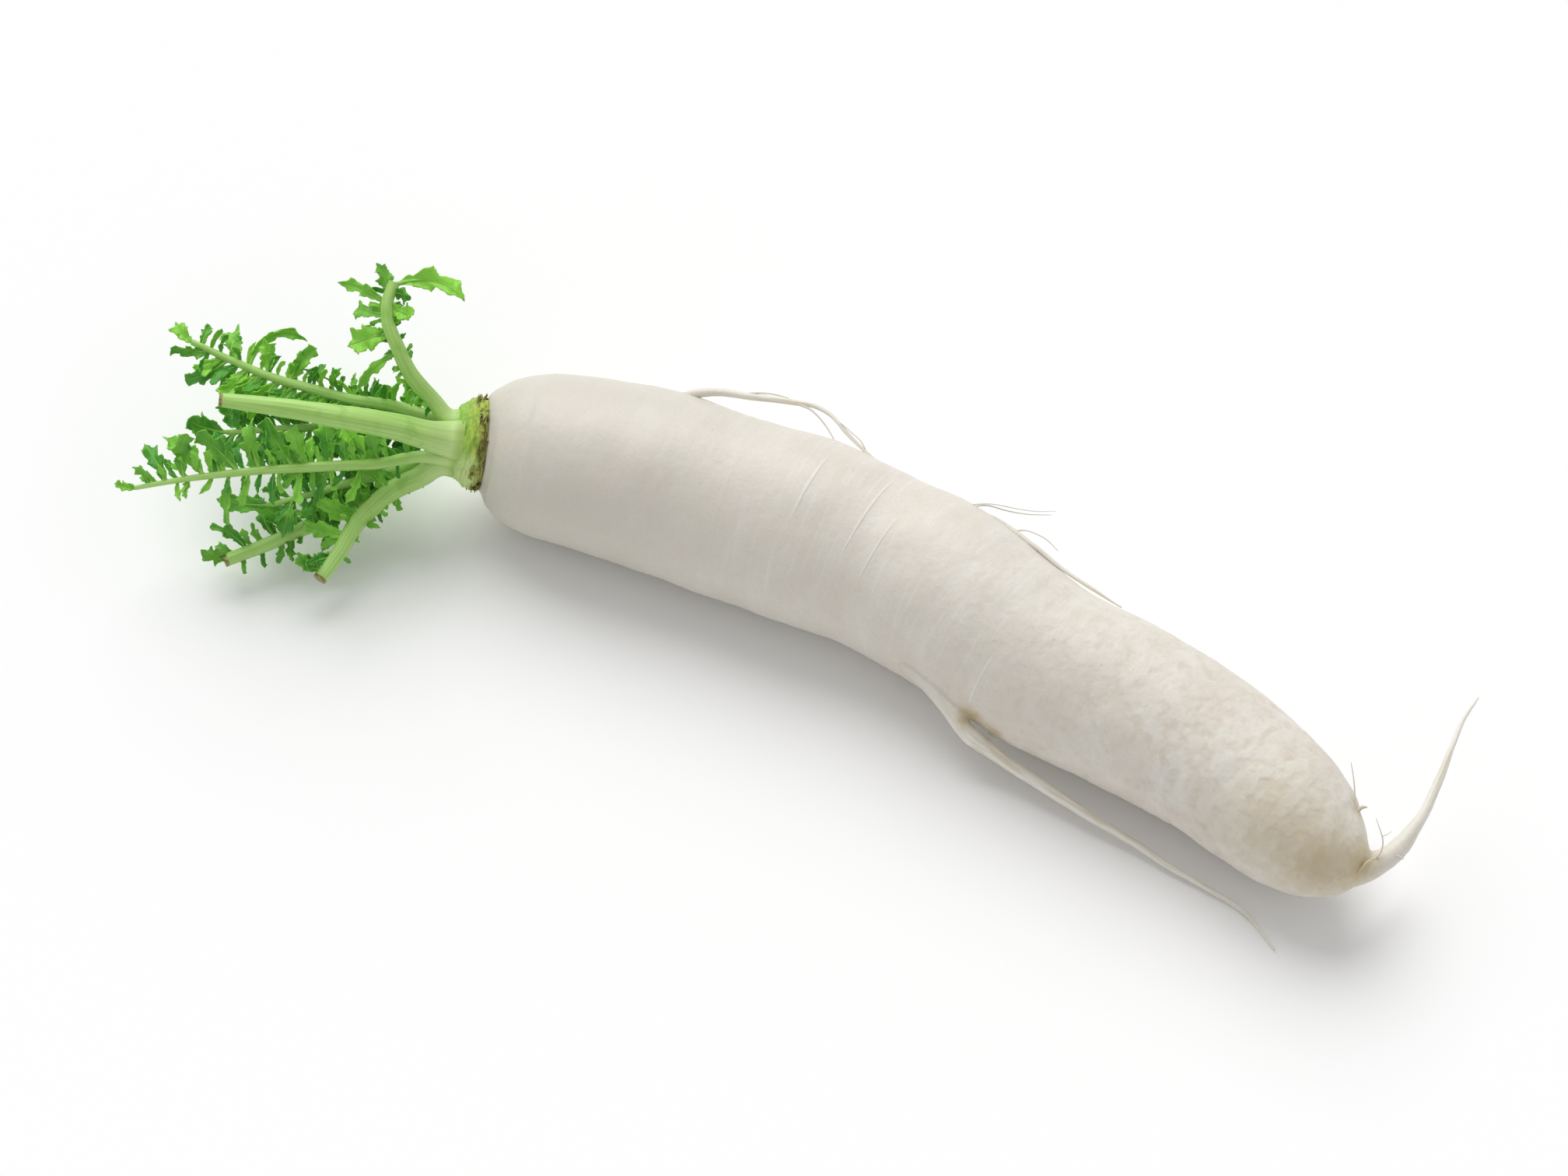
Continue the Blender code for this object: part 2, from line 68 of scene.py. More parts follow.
level = math.cos(ELEVATION)
backwards = Vector((math.sin(AZIMUTH) * level, -math.cos(AZIMUTH) * level, math.sin(ELEVATION)))
rightwards = Vector((math.cos(AZIMUTH), math.sin(AZIMUTH), 0.0))
view = Matrix((rightwards, backwards.cross(rightwards), backwards)).transposed().to_4x4()
lens = bpy.data.cameras.new("camera")
lens.lens = FOCAL_LENGTH
lens.sensor_width = SENSOR_WIDTH
camera = bpy.data.objects.new("camera", lens)
camera.matrix_world = Matrix.Translation(AIM + backwards * CAMERA_DISTANCE) @ view
bpy.context.scene.collection.objects.link(camera)
bpy.context.scene.camera = camera

# The floor and the light
# A plain pale sheet lies under the radish. A broad soft light falls evenly from above and behind it, and
# the room gives a weaker light from all round.
FLOOR_REACH = 3.0
FLOOR_DEPTH = 0.1 * MM
KEY_FROM = Vector((-0.65, 0.62, 1.10))
KEY_SPREAD = math.radians(52)
KEY_STRENGTH = 2.05
ROOM_LIGHT = 0.53


def mesh_piece(name, bm, material, sharp=180):
    """An object of this mesh, with every face smooth but for edges over the sharp angle, in degrees."""
    mesh = bpy.data.meshes.new(name)
    bm.to_mesh(mesh)
    bm.free()
    mesh.shade_smooth()
    if sharp < 180:
        mesh.set_sharp_from_angle(angle=math.radians(sharp))
    mesh.materials.append(material)
    piece = bpy.data.objects.new(name, mesh)
    bpy.context.scene.collection.objects.link(piece)
    return piece


pale = bpy.data.materials.new("pale_floor")
pale.use_nodes = True
pale.node_tree.nodes["Principled BSDF"].inputs["Base Color"].default_value = (0.96, 0.96, 0.96, 1)
pale.node_tree.nodes["Principled BSDF"].inputs["Roughness"].default_value = 0.9
sheet = bmesh.new()
bmesh.ops.create_grid(sheet, x_segments=1, y_segments=1, size=FLOOR_REACH)
bmesh.ops.translate(sheet, vec=(0, 0, -FLOOR_DEPTH), verts=sheet.verts)
floor = mesh_piece("floor", sheet, pale)

key = bpy.data.lights.new("soft_light", "SUN")
key.angle = KEY_SPREAD
key.energy = KEY_STRENGTH
key_holder = bpy.data.objects.new("soft_light", key)
key_holder.location = KEY_FROM
key_holder.rotation_euler = KEY_FROM.to_track_quat("Z", "Y").to_euler()
bpy.context.scene.collection.objects.link(key_holder)

room = bpy.data.worlds.new("room")
room.use_nodes = True
room.node_tree.nodes["Background"].inputs["Color"].default_value = (1.0, 1.0, 1.0, 1)
room.node_tree.nodes["Background"].inputs["Strength"].default_value = ROOM_LIGHT
bpy.context.scene.world = room
bpy.context.scene.view_settings.view_transform = "Standard"

# The root
# One swollen white root, grown in one piece with its thin tail and its side roots. It is firm, moist flesh
# under a thin skin, with fine rings across it, and it is pressed a little flat where it lies.
ROOT_LENGTH = 342 * MM
ROOT_WIDTH = 64 * MM
HEAD_X = -162 * MM
LEAST_AXIS_HEIGHT = 28 * MM
AXIS_HEIGHT = 0.975  # of the radius
HEAD_LIFT = 2.7 * MM  # how far the root's head turns up
LIFTED_SHARE = 0.08  # of the root's length

# The root's form: share of its length, sideways place in mm, share of its full radius
ROOT_FORM = (
    (0, -26.1, 0.5), (0.006, -24.9, 0.61), (0.015, -23.4, 0.71), (0.029, -21.4, 0.8),
    (0.048, -19.1, 0.87), (0.085, -15.9, 0.93), (0.13, -12.3, 0.96), (0.175, -9, 0.975),
    (0.255, -6, 0.98), (0.335, -2.5, 1), (0.42, -0.8, 0.97), (0.5, -2, 0.98), (0.55, -5.2, 0.96),
    (0.62, -8.5, 0.91), (0.72, -9.6, 0.895), (0.82, -13.6, 0.82), (0.88, -19, 0.78),
    (0.925, -23.8, 0.69), (0.962, -26.8, 0.52), (0.985, -27.2, 0.34), (1, -26.8, 0.13),
)
ROOT_RINGS = 320
ROOT_SIDES = 168

# Thin roots: x, y, z and radius in mm. Each starts inside the body.
TAIL = (
    (168, -27, 27, 9.5), (176, -26.8, 26, 6.6), (182, -21, 26.5, 4.2), (185.5, -12.4, 28, 3.2),
    (187, -2.3, 31, 2), (186.5, 12, 35, 1.5), (185, 24, 38, 1), (184, 35, 40, 0.7),
    (184.7, 44, 41, 0.3),
)
LOWER_SIDE_ROOT = (
    (4, -22, 29.5, 8.5), (15, -28.8, 27, 6.8), (27.5, -35.6, 22.4, 4.6), (37, -39.3, 18, 3.3),
    (46.5, -39, 13, 2.6), (62, -40, 10, 2.1), (85, -41.8, 7, 1.6), (101, -42.6, 5, 1.3),
    (116, -43.8, 3.3, 1.1), (131, -44.6, 2.2, 0.9), (147, -46.4, 1.5, 0.7), (162, -54, 1.1, 0.3),
)
UPPER_SIDE_ROOT = (
    (-116, 6, 38, 3), (-109, 11, 44, 2.2), (-104, 15.6, 49, 1.7), (-98, 19, 51.3, 1.5),
    (-84, 24, 52.3, 1.3), (-70, 29.3, 52.3, 1), (-62, 31.9, 51.9, 0.9), (-57, 31.8, 51.4, 0.8),
    (-47.6, 28, 50.5, 0.7), (-39.3, 25.2, 49.8, 0.6), (-31.4, 22.7, 49.4, 0.5),
)
LYING_SIDE_ROOT = (
    (3, 20, 42, 2.2), (9, 22.6, 47, 1.6), (20, 22.2, 47.6, 1.1), (29, 20.6, 47.4, 0.9),
    (41, 18.8, 44.8, 0.8), (51, 17.2, 44.2, 0.7), (65, 16.4, 42, 0.3),
)
# Each thin root's route, rings, sides, the place and reach in mm where it flows into the body, and how
# often the mesh there is smoothed
THIN_ROOTS = (
    (TAIL, 110, 32, (178, -25, 26), 10, 14),
    (LOWER_SIDE_ROOT, 190, 28, (24, -34, 26), 20, 60),
    (UPPER_SIDE_ROOT, 110, 16, (-105, 14.5, 48), 3, 14),
    (LYING_SIDE_ROOT, 80, 14, (9, 22.6, 47), 3, 14),
)
# Hairs and strands: x, y, z and radius in mm. Each starts inside the root or a side root.
HAIRS = (
    ((-69.5, 29.1, 52.4, 0.45), (-63, 29.8, 52, 0.4), (-59.4, 28.8, 51.6, 0.36),
     (-55.5, 26.9, 51, 0.32), (-51.7, 24.5, 50.5, 0.28), (-47.4, 21.3, 49.6, 0.22)),
    ((-53.4, 30.7, 51, 0.3), (-50, 29.5, 52, 0.26), (-46.5, 28.2, 52, 0.24), (-41.3, 26.6, 51.6, 0.22),
     (-38.5, 25, 49.8, 0.2)),
    ((-90, 21.8, 52, 0.4), (-84.2, 24.7, 53.3, 0.35), (-79.4, 27.2, 53.6, 0.3),
     (-75.6, 28.6, 53.4, 0.25), (-72.1, 30, 52.4, 0.15)),
    ((3.8, 23, 49.6, 0.3), (7.9, 25.4, 50.3, 0.28), (14.1, 27.4, 49.4, 0.25), (21.5, 30.4, 48.6, 0.2),
     (28.4, 34.2, 48.4, 0.12)),
    ((2, 22.8, 49.6, 0.24), (9.8, 26.6, 51, 0.2), (17.4, 29.6, 50, 0.18), (23.5, 32.2, 49.6, 0.15),
     (29.1, 35.6, 49.2, 0.1)),
    ((20, 22.2, 47.6, 0.45), (24, 24, 48.6, 0.28), (27.3, 24.2, 49, 0.25), (32.1, 24, 48.8, 0.22),
     (37, 22.8, 47.4, 0.15)),
    ((38.2, -32, 20, 0.35), (42.2, -35.1, 19.2, 0.28), (45.5, -35.6, 19, 0.24), (48.6, -34.9, 19, 0.2),
     (51.1, -33.6, 21, 0.2)),
    ((40.3, -32.4, 19, 0.25), (43.7, -35.5, 17, 0.22), (47.5, -35.9, 17, 0.18),
     (50.7, -33.4, 19.4, 0.2)),
    ((50, -32.9, 21, 0.45), (51.7, -34.5, 18.4, 0.24), (52.5, -35.8, 17, 0.1)),
    ((168.3, -14.8, 38.4, 0.3), (165.7, -10.2, 42.4, 0.25), (163.4, -7.2, 45.1, 0.2),
     (160.8, -4.3, 47.7, 0.12)),
    ((168.6, -15.2, 37.2, 0.9), (170.3, -12.4, 38.6, 0.6), (171.4, -11.7, 38.6, 0.25)),
    ((180, -25, 29.5, 0.35), (181.8, -21.2, 32.6, 0.3), (180.7, -18.3, 34.8, 0.26),
     (178.5, -16.4, 36.7, 0.2), (175.8, -14.3, 38.9, 0.12)),
    ((180, -17.6, 35.4, 0.22), (181.2, -16.4, 36.2, 0.18), (182.2, -15.2, 37, 0.1)),
    ((177.4, -33.6, 30.8, 0.5), (179.1, -30.7, 32.9, 0.62), (180, -28.2, 34.1, 0.6),
     (181.4, -25.4, 33.8, 0.45)),
    ((185.2, -18.4, 29.4, 0.8), (187.4, -18, 29.2, 0.45), (188.7, -17.9, 28.8, 0.15)),
)
HAIR_RINGS = 22
HAIR_SIDES = 6
WOBBLE = 0.25 * MM  # how far a thin root strays from its route
BEND_PITCH = 9 * MM
BEND_SEED = 3  # so that the small bends come out the same each time
WRINKLE_PITCH = 1.6 * MM
WRINKLE_SWELLING = 0.05
RING_EVENNESS = 0.4  # the body's rings are closer at its ends
SMOOTHING_FADE = 0.6  # the share of its reach that the smoothing of a thin root's foot loses
GROUND_SPARE = 0.05 * MM


def through(points, shares):
    """Rows on a smooth curve through the given rows, at these shares of its length."""
    points = np.asarray(points, float)
    steps = np.linalg.norm(np.diff(points[:, :3], axis=0), axis=1)
    reach = np.concatenate([[0.0], np.cumsum(steps)]) / steps.sum()
    slope = np.gradient(points, reach, axis=0)
    shares = np.atleast_1d(shares)
    i = np.clip(np.searchsorted(reach, shares, side="right") - 1, 0, len(points) - 2)
    span = (reach[i + 1] - reach[i])[:, None]
    t = (shares - reach[i])[:, None] / span
    start = (2 * t**3 - 3 * t**2 + 1) * points[i] + (t**3 - 2 * t**2 + t) * span * slope[i]
    end = (3 * t**2 - 2 * t**3) * points[i + 1] + (t**3 - t**2) * span * slope[i + 1]
    return start + end


def frames(centres, first_side):
    """The direction of a curve at each point, and one across it that doesn't twist."""
    along = np.gradient(centres, axis=0)
    along /= np.linalg.norm(along, axis=1)[:, None]
    across = []
    side = np.asarray(first_side, float)
    for direction in along:
        side = side - direction * side.dot(direction)
        side /= np.linalg.norm(side)
        across.append(side)
    return along, np.array(across)


def tube(rows, sides, first_side, swell=None, kind=0.0):
    """A closed tube through rows of x, y, z and radius. swell(distance, turn, radius) changes the radius.
    Its grain is the distance along and the turn about it. Its kind says what part of the plant it is."""
    centres, radii = rows[:, :3], rows[:, 3]
    along, across = frames(centres, first_side)
    over = np.cross(across, along)
    steps = np.linalg.norm(np.diff(centres, axis=0), axis=1)
    distances = np.concatenate([[0.0], np.cumsum(steps)])
    rings = len(rows) - 1
    bm = bmesh.new()
    grain = bm.verts.layers.float_vector.new("grain")
    part = bm.verts.layers.float.new("part")
    bmesh.ops.create_grid(bm, x_segments=rings, y_segments=sides, size=0.5)
    for vert in bm.verts:
        ring = round((vert.co.x + 0.5) * rings)
        turn = math.tau * (vert.co.y + 0.5 + 0.5 / sides)
        cosine, sine = math.cos(turn), math.sin(turn)
        radius = radii[ring]
        if swell:
            radius = swell(distances[ring], turn, radius)
        vert.co = centres[ring] + radius * (cosine * across[ring] + sine * over[ring])
        vert[grain] = (distances[ring], cosine, sine)
        vert[part] = kind
    bmesh.ops.remove_doubles(bm, verts=bm.verts, dist=0.005 * MM)
    caps = bmesh.ops.holes_fill(bm, edges=bm.edges)["faces"]
    bmesh.ops.recalc_face_normals(bm, faces=bm.faces)
    bmesh.ops.poke(bm, faces=caps)
    return bm


def root_line(shares):
    """The root's centre line and radius at these shares of its length."""
    rows = []
    for share, sideways, fullness in ROOT_FORM:
        radius = fullness * ROOT_WIDTH / 2
        height = max(AXIS_HEIGHT * radius, LEAST_AXIS_HEIGHT)
        rows.append((HEAD_X + share * ROOT_LENGTH, sideways * MM, height, radius))
    line = through(rows, shares)
    line[:, 2] += HEAD_LIFT * np.maximum(1 - np.atleast_1d(shares) / LIFTED_SHARE, 0) ** 2
    return line


LONG_SWELLING = 0.012
CROSS_SWELLING = 0.008
RING_SWELLING = 0.006
DENT_SIZE = 14 * MM
DENT_DEPTH = 0.45 * MM
RING_PITCH = 3.2 * MM
RING_DEPTH = 0.13 * MM
PORE_SIZE = 1.9 * MM
PORE_DEPTH = 0.05 * MM


def root_swell(distance, turn, radius):
    """The low swellings of the solid root, with shallow dents and fine rings part of the way round."""
    share = distance / ROOT_LENGTH
    swelling = LONG_SWELLING * math.sin(2 * turn + 9 * share)
    swelling += CROSS_SWELLING * math.sin(3 * turn - 17 * share + 1)
    swelling += RING_SWELLING * math.sin(41 * share)
    side = Vector((0, math.cos(turn), math.sin(turn)))
    forward = Vector((distance, 0, 0))
    ends = min(1.0, 6 * share, 12 * max(1 - share, 0))
    dents = DENT_DEPTH * noise.noise((forward + side * radius) / DENT_SIZE)
    rings = RING_DEPTH * noise.noise(forward / RING_PITCH + side * 1.4) * min(1.0, 0.3 + 3 * share)
    rings += RING_DEPTH / 2 * noise.noise(forward / RING_PITCH * 2.3 + side * 4)
    pores = PORE_DEPTH * noise.noise((forward + side * radius) / PORE_SIZE)
    return radius * (1 + swelling) + ends * (dents + rings + pores)


def thin_swell(distance, turn, radius):
    """A thin root is wrinkled across and a little uneven."""
    side = Vector((0, math.cos(turn), math.sin(turn)))
    wrinkle = noise.noise(Vector((distance / WRINKLE_PITCH, 0, 0)) + side * 0.6)
    return radius * (1 + WRINKLE_SWELLING * wrinkle)


def wobbled(rows, seed):
    """The same route with small bends, none at its ends."""
    rows = rows.copy()
    for i, row in enumerate(rows):
        place = Vector(row[:3]) / BEND_PITCH + Vector((seed, 0, 0))
        ends = math.sin(math.pi * i / (len(rows) - 1))
        row[:3] += WOBBLE * ends * np.array(noise.noise_vector(place))
    return rows


def drop_scraps(bm):
    """Keeps the largest connected body and drops what stayed loose."""
    unseen = set(bm.verts)
    bodies = []
    while unseen:
        body = []
        edge = [unseen.pop()]
        while edge:
            vert = edge.pop()
            body.append(vert)
            near = {link.other_vert(vert) for link in vert.link_edges} & unseen
            unseen -= near
            edge += near
        bodies.append(body)
    bodies.sort(key=len)
    for scrap in bodies[:-1]:
        bmesh.ops.delete(bm, geom=scrap, context="VERTS")


def fused(target, others):
    """The mesh of one Boolean union of the target and the others, which are all removed."""
    group = bpy.data.collections.new("thin roots")
    bpy.context.scene.collection.children.link(group)
    for other in others:
        bpy.context.scene.collection.objects.unlink(other)
        group.objects.link(other)
    union = target.modifiers.new("Union", "BOOLEAN")
    union.operation = "UNION"
    union.operand_type = "COLLECTION"
    union.collection = group
    union.solver = "MANIFOLD"
    graph = bpy.context.evaluated_depsgraph_get()
    mesh = bpy.data.meshes.new_from_object(target.evaluated_get(graph))
    for made in (target, *others):
        bpy.data.objects.remove(made, do_unlink=True)
    bpy.data.collections.remove(group)
    bm = bmesh.new()
    bm.from_mesh(mesh)
    bpy.data.meshes.remove(mesh)
    drop_scraps(bm)
    return bm


def gathered(parts):
    """One mesh of several, which are freed."""
    whole = bmesh.new()
    for part in parts:
        mesh = bpy.data.meshes.new("part")
        part.to_mesh(mesh)
        part.free()
        whole.from_mesh(mesh)
        bpy.data.meshes.remove(mesh)
    return whole


def kept_in(bm):
    """Presses teeth and hairs that stand a little out of the solid model's box back to it."""
    low, high = cad_box
    for vert in bm.verts:
        vert.co = [min(max(value, least), most) for value, least, most in zip(vert.co, low, high)]
    return bm


class Wire:
    """One output of a material's nodes. Sums on it add Math nodes, and node() adds any other node."""

    def __init__(self, tree, socket=None):
        self.tree = tree
        self.socket = socket

    def node(self, kind, settings=(), values=(), output=0):
        made = self.tree.nodes.new(kind)
        for name, setting in dict(settings).items():
            setattr(made, name, setting)
        for name, value in dict(values).items():
            if isinstance(value, Wire):
                self.tree.links.new(value.socket, made.inputs[name])
            else:
                made.inputs[name].default_value = value
        return Wire(self.tree, made.outputs[output])

    def maths(self, operation, *values):
        return self.node("ShaderNodeMath", {"operation": operation}, enumerate(values))

    def __add__(self, other):
        return self.maths("ADD", self, other)

    def __sub__(self, other):
        return self.maths("SUBTRACT", self, other)

    def __rsub__(self, other):
        return self.maths("SUBTRACT", other, self)

    def __mul__(self, other):
        return self.maths("MULTIPLY", self, other)

    def __abs__(self):
        return self.maths("ABSOLUTE", self)

    __radd__ = __add__
    __rmul__ = __mul__

    def rise(self, low, high):
        """0 below low and 1 above high, smooth between. It falls instead where low is over high."""
        values = {"Value": self, "From Min": low, "From Max": high}
        return self.node("ShaderNodeMapRange", {"interpolation_type": "SMOOTHSTEP"}, values)

    def vector(self, operation, *values):
        return self.node("ShaderNodeVectorMath", {"operation": operation}, enumerate(values))

    def blend(self, colour, other, share):
        """The first colour, with this share of the other laid over it."""
        values = {0: share, 6: colour, 7: other}
        return self.node("ShaderNodeMix", {"data_type": "RGBA"}, values, 2)

    def layers(self, colour, *coats):
        """The colour with each coat laid over it in turn. A coat is its colour and its share."""
        for other, share in coats:
            colour = self.blend(colour, other, share)
        return colour

    def split(self):
        """The X, Y and Z of a vector."""
        made = self.node("ShaderNodeSeparateXYZ", (), {0: self}).socket.node
        return [Wire(self.tree, output) for output in made.outputs]

    def stretched_cloud(self, place, stretch, detail):
        """Soft noise from 0 to 1, in a place whose X, Y and Z are multiplied by these."""
        stretched = self.vector("MULTIPLY", place, stretch)
        values = {"Vector": stretched, "Scale": 1.0, "Detail": detail}
        return self.node("ShaderNodeTexNoise", (), values)

    def cloud(self, place, size, detail=2.0, roughness=0.5):
        """Soft noise from 0 to 1, with spots of about this size in metres."""
        values = {"Vector": place, "Scale": 1 / size, "Detail": detail, "Roughness": roughness}
        return self.node("ShaderNodeTexNoise", (), values)

    def attribute(self, name, output="Vector"):
        return self.node("ShaderNodeAttribute", {"attribute_name": name}, (), output)


SOFT_SHARE = 0.15
SOFT_COLOURS = (1.0, 0.8, 0.6)  # how far red, green and blue light sinks in, as shares of the soft depth


def plant_finish(name, roughness, soft_depth):
    """A material for living tissue, where light sinks in a little. Gives it, its nodes and its shader."""
    material = bpy.data.materials.new(name)
    material.use_nodes = True
    shader = material.node_tree.nodes["Principled BSDF"]
    shader.inputs["Roughness"].default_value = roughness
    shader.inputs["Subsurface Weight"].default_value = SOFT_SHARE
    shader.inputs["Subsurface Radius"].default_value = SOFT_COLOURS
    shader.inputs["Subsurface Scale"].default_value = soft_depth
    return material, Wire(material.node_tree), shader


def set_finish(wires, shader, colour, roughness, height, depth):
    """Wires a colour, a roughness and a relief of this depth in metres to the shader."""
    links = wires.tree.links
    links.new(colour.socket, shader.inputs["Base Color"])
    links.new(roughness.socket, shader.inputs["Roughness"])
    bump = wires.node("ShaderNodeBump", (), {"Height": height, "Distance": depth})
    links.new(bump.socket, shader.inputs["Normal"])


def rgb(red, green, blue):
    return (red, green, blue, 1.0)


CREAM = rgb(0.735, 0.695, 0.615)
CHALK = rgb(0.8, 0.785, 0.74)
ROSE = rgb(0.705, 0.63, 0.56)
SHADE = rgb(0.57, 0.545, 0.475)
UMBER = rgb(0.56, 0.46, 0.34)
STRAW = rgb(0.64, 0.56, 0.36)
RUST = rgb(0.38, 0.24, 0.11)
# The thin roots' paler colour: partly their own, partly painted light against their shade
THIN_PALE_AND_PAINTED_LIGHT = rgb(0.86, 0.84, 0.78)
SKIN_RELIEF = 0.35 * MM
# Stains: the place in mm, the reach in mm and the strength
STAINS = (
    ((178, -30, 33), 14, 0.95),
    ((167, -38, 36), 25, 0.70),
    ((148, -34, 40), 32, 0.35),
    ((170, -14, 38), 9, 0.40),
    ((37, -37, 24), 9, 1.00),
    ((46, -36, 21), 8, 0.80),
    ((60, -33, 18), 7, 0.50),
)
# Pale scars slantwise round the root: distance from the head and slant in mm, turns it starts and ends at
SCARS = ((139, 2, 1.10, 2.0), (118, 1.5, 1.25, 1.9), (149, 3, 0.90, 1.5), (205, 2, 0.2, 0.8))


def root_skin():
    """Cream skin, chalky and rosy in patches, with scars, pores and yellow stains, and painted shade
    towards the head. Thin roots are paler, partly their own colour and partly painted light.
    """
    material, wires, shader = plant_finish("root_skin", 0.45, 3 * MM)
    place = wires.node("ShaderNodeTexCoord", (), (), "Object")
    grain = wires.attribute("grain")
    thin = wires.attribute("part", "Fac")
    distance, cosine, sine = grain.split()
    streaks = wires.stretched_cloud(grain, (1 / (1.7 * MM), 3.0, 3.0), 3.0)
    bands = wires.stretched_cloud(grain, (1 / (9 * MM), 1.3, 1.3), 2.0)
    dashes = wires.stretched_cloud(grain, (1 / (1.3 * MM), 9.0, 9.0), 1.0)
    lines = wires.stretched_cloud(grain, (1 / (1.1 * MM), 0.9, 0.9), 1.0)
    strands = wires.stretched_cloud(grain, (1 / (16 * MM), 2.2, 2.2), 3.0)
    blotches = wires.cloud(place, 34 * MM, 3.0)
    mottle = wires.cloud(place, 13 * MM, 2.0, 0.6)
    freckles = wires.cloud(place, 3.6 * MM, 3.0, 0.6)
    grit = wires.cloud(place, 1.1 * MM, 2.0, 0.6)
    old = distance.rise(110 * MM, 330 * MM)
    dimples = wires.cloud(place, 5.2 * MM, 1.0).rise(0.40, 0.66)
    marks = dashes.rise(0.70, 0.80)

    middle = distance.rise(60 * MM, 120 * MM) * distance.rise(260 * MM, 190 * MM)
    pale = streaks.rise(0.42, 0.78) * 0.25 * (0.3 + old) + bands.rise(0.45, 0.7) * 0.3
    colour = wires.layers(
        CREAM,
        (CHALK, pale + lines.rise(0.55, 0.72) * middle * 0.4),
        # Painted shade: the skin is darkened towards the head.
        (SHADE, distance.rise(150 * MM, 20 * MM) * (1 - thin) * 0.5),
        (ROSE, blotches.rise(0.42, 0.62) * (0.15 + 0.30 * old) + mottle.rise(0.45, 0.62) * 0.30),
        (CHALK, mottle.rise(0.50, 0.34) * (0.06 + 0.34 * old)),
        (UMBER, dimples * old * (0.10 + 0.40 * freckles.rise(0.4, 0.7))),
        (SHADE, grit.rise(0.45, 0.75) * 0.22),
        (UMBER, marks * (0.10 + 0.30 * old)),
    )
    height = streaks * 0.2 + freckles * 0.45 + grit * 0.15 - dimples * (0.1 + old * 0.5) - marks * 0.15

    turn = sine.maths("ARCTAN2", sine, cosine)
    for start, slant, first, last in SCARS:
        lying = abs(distance - start * MM - turn * (slant * MM)) + freckles * (0.5 * MM)
        mask = lying.rise(1.0 * MM, 0.35 * MM) * turn.rise(first - 0.2, first + 0.1)
        mask = mask * turn.rise(last + 0.2, last - 0.1) * (1 - thin)
        colour = wires.blend(colour, CHALK, mask * 0.8)
        height = height + mask * 0.5
    away_from_foot = thin * distance.rise(18 * MM, 42 * MM)
    yellow = away_from_foot * strands.rise(0.47, 0.60)
    # Thin roots are paler: partly their own whitish colour, partly painted light that offsets the shade
    # they lie in.
    colour = wires.layers(colour, (THIN_PALE_AND_PAINTED_LIGHT, away_from_foot * 0.85), (STRAW, yellow * 0.55))
    for centre, reach, strength in STAINS:
        ends = {0: place, 1: Vector(centre) * MM}
        away = wires.node("ShaderNodeVectorMath", {"operation": "DISTANCE"}, ends, "Value")
        uneven = away + freckles * (reach * 0.7 * MM)
        mask = uneven.rise(reach * 1.25 * MM, reach * 0.35 * MM)
        colour = wires.layers(colour, (STRAW, mask * strength), (RUST, mask * mask * (strength * 0.45)))
    set_finish(wires, shader, colour, 0.36 + 0.22 * freckles + 0.1 * old, height, SKIN_RELIEF)
    return material


even = np.linspace(0, 1, ROOT_RINGS + 1)
closer_at_ends = 0.5 - 0.5 * np.cos(math.pi * even)
shares = RING_EVENNESS * even + (1 - RING_EVENNESS) * closer_at_ends
body = tube(root_line(shares), ROOT_SIDES, (0, -1, 0), root_swell)
for vert in body.verts:
    vert.co.z = max(vert.co.z, 0.0)
skin = root_skin()
body = mesh_piece("body", body, skin)
noise.seed_set(BEND_SEED)
thin_roots = []
for number, (route, rings, sides, *_) in enumerate(THIN_ROOTS):
    rows = wobbled(through(np.array(route) * MM, np.linspace(0, 1, rings + 1)), number)
    rows[:, 2] = np.maximum(rows[:, 2], rows[:, 3] + GROUND_SPARE)
    thin_roots.append(mesh_piece("thin", tube(rows, sides, (0, 0, 1), thin_swell, 1.0), skin))
whole = fused(body, thin_roots)
axes = {"use_axis_x": True, "use_axis_y": True, "use_axis_z": True}
for *_, start, reach, smoothings in THIN_ROOTS:
    for turn in range(smoothings):
        near = reach * MM * (1 - SMOOTHING_FADE * turn / smoothings)
        verts = [vert for vert in whole.verts if (vert.co - Vector(start) * MM).length < near]
        bmesh.ops.smooth_vert(whole, verts=verts, factor=0.5, **axes)
root = mesh_piece("root_with_side_roots", kept_in(whole), skin)
strands = []
for number, route in enumerate(HAIRS):
    rows = wobbled(through(np.array(route) * MM, np.linspace(0, 1, HAIR_RINGS + 1)), number + 0.5)
    strands.append(tube(rows, HAIR_SIDES, (0, 0, 1), thin_swell, 1.0))
hairs = mesh_piece("root_hairs", kept_in(gathered(strands)), skin)
for piece in (root, hairs):
    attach(piece, "root")
    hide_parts("root")

# The crown
# The short green stem that the leaves stand on, grown from the head of the root. Old leaves leave scars on
# it, and dry brown scales where it meets the white skin.
CROWN_LENGTH = 10 * MM
CROWN_WIDTH = 26 * MM
CROWN_AIM = Vector((-0.86, -0.49, 0.19)).normalized()
GAP = 0.3 * MM
# Share of the crown's length, and share of the way from the root's width to the crown's own
CROWN_PROFILE = ((0.03, 0.0), (0.16, -0.12), (0.40, 0.0), (0.72, 0.5), (1.0, 1.0))
CROWN_RINGS = 44
CROWN_SIDES = 180
CROWN_SUNK = 1.5 * MM
CROWN_KNOBS = 0.07  # these swellings are shares of its radius
CROWN_SCARS = 0.05
CROWN_CRUMPLE = 0.025
SHOULDER_START = 0.6  # of its length
SHOULDER_DROP = 0.06
CROWN_RELIEF = 0.5 * MM
DARK_OLIVE = rgb(0.25, 0.4, 0.035)
OLIVE = rgb(0.43, 0.58, 0.1)
YELLOW_OLIVE = rgb(0.48, 0.6, 0.08)
FRESH_GREEN = rgb(0.3, 0.58, 0.08)
PALE_GREEN = rgb(0.64, 0.8, 0.34)
DARK_BROWN = rgb(0.13, 0.105, 0.02)
LIGHT_BROWN = rgb(0.42, 0.4, 0.12)
THREAD_BROWN = rgb(0.19, 0.23, 0.02)


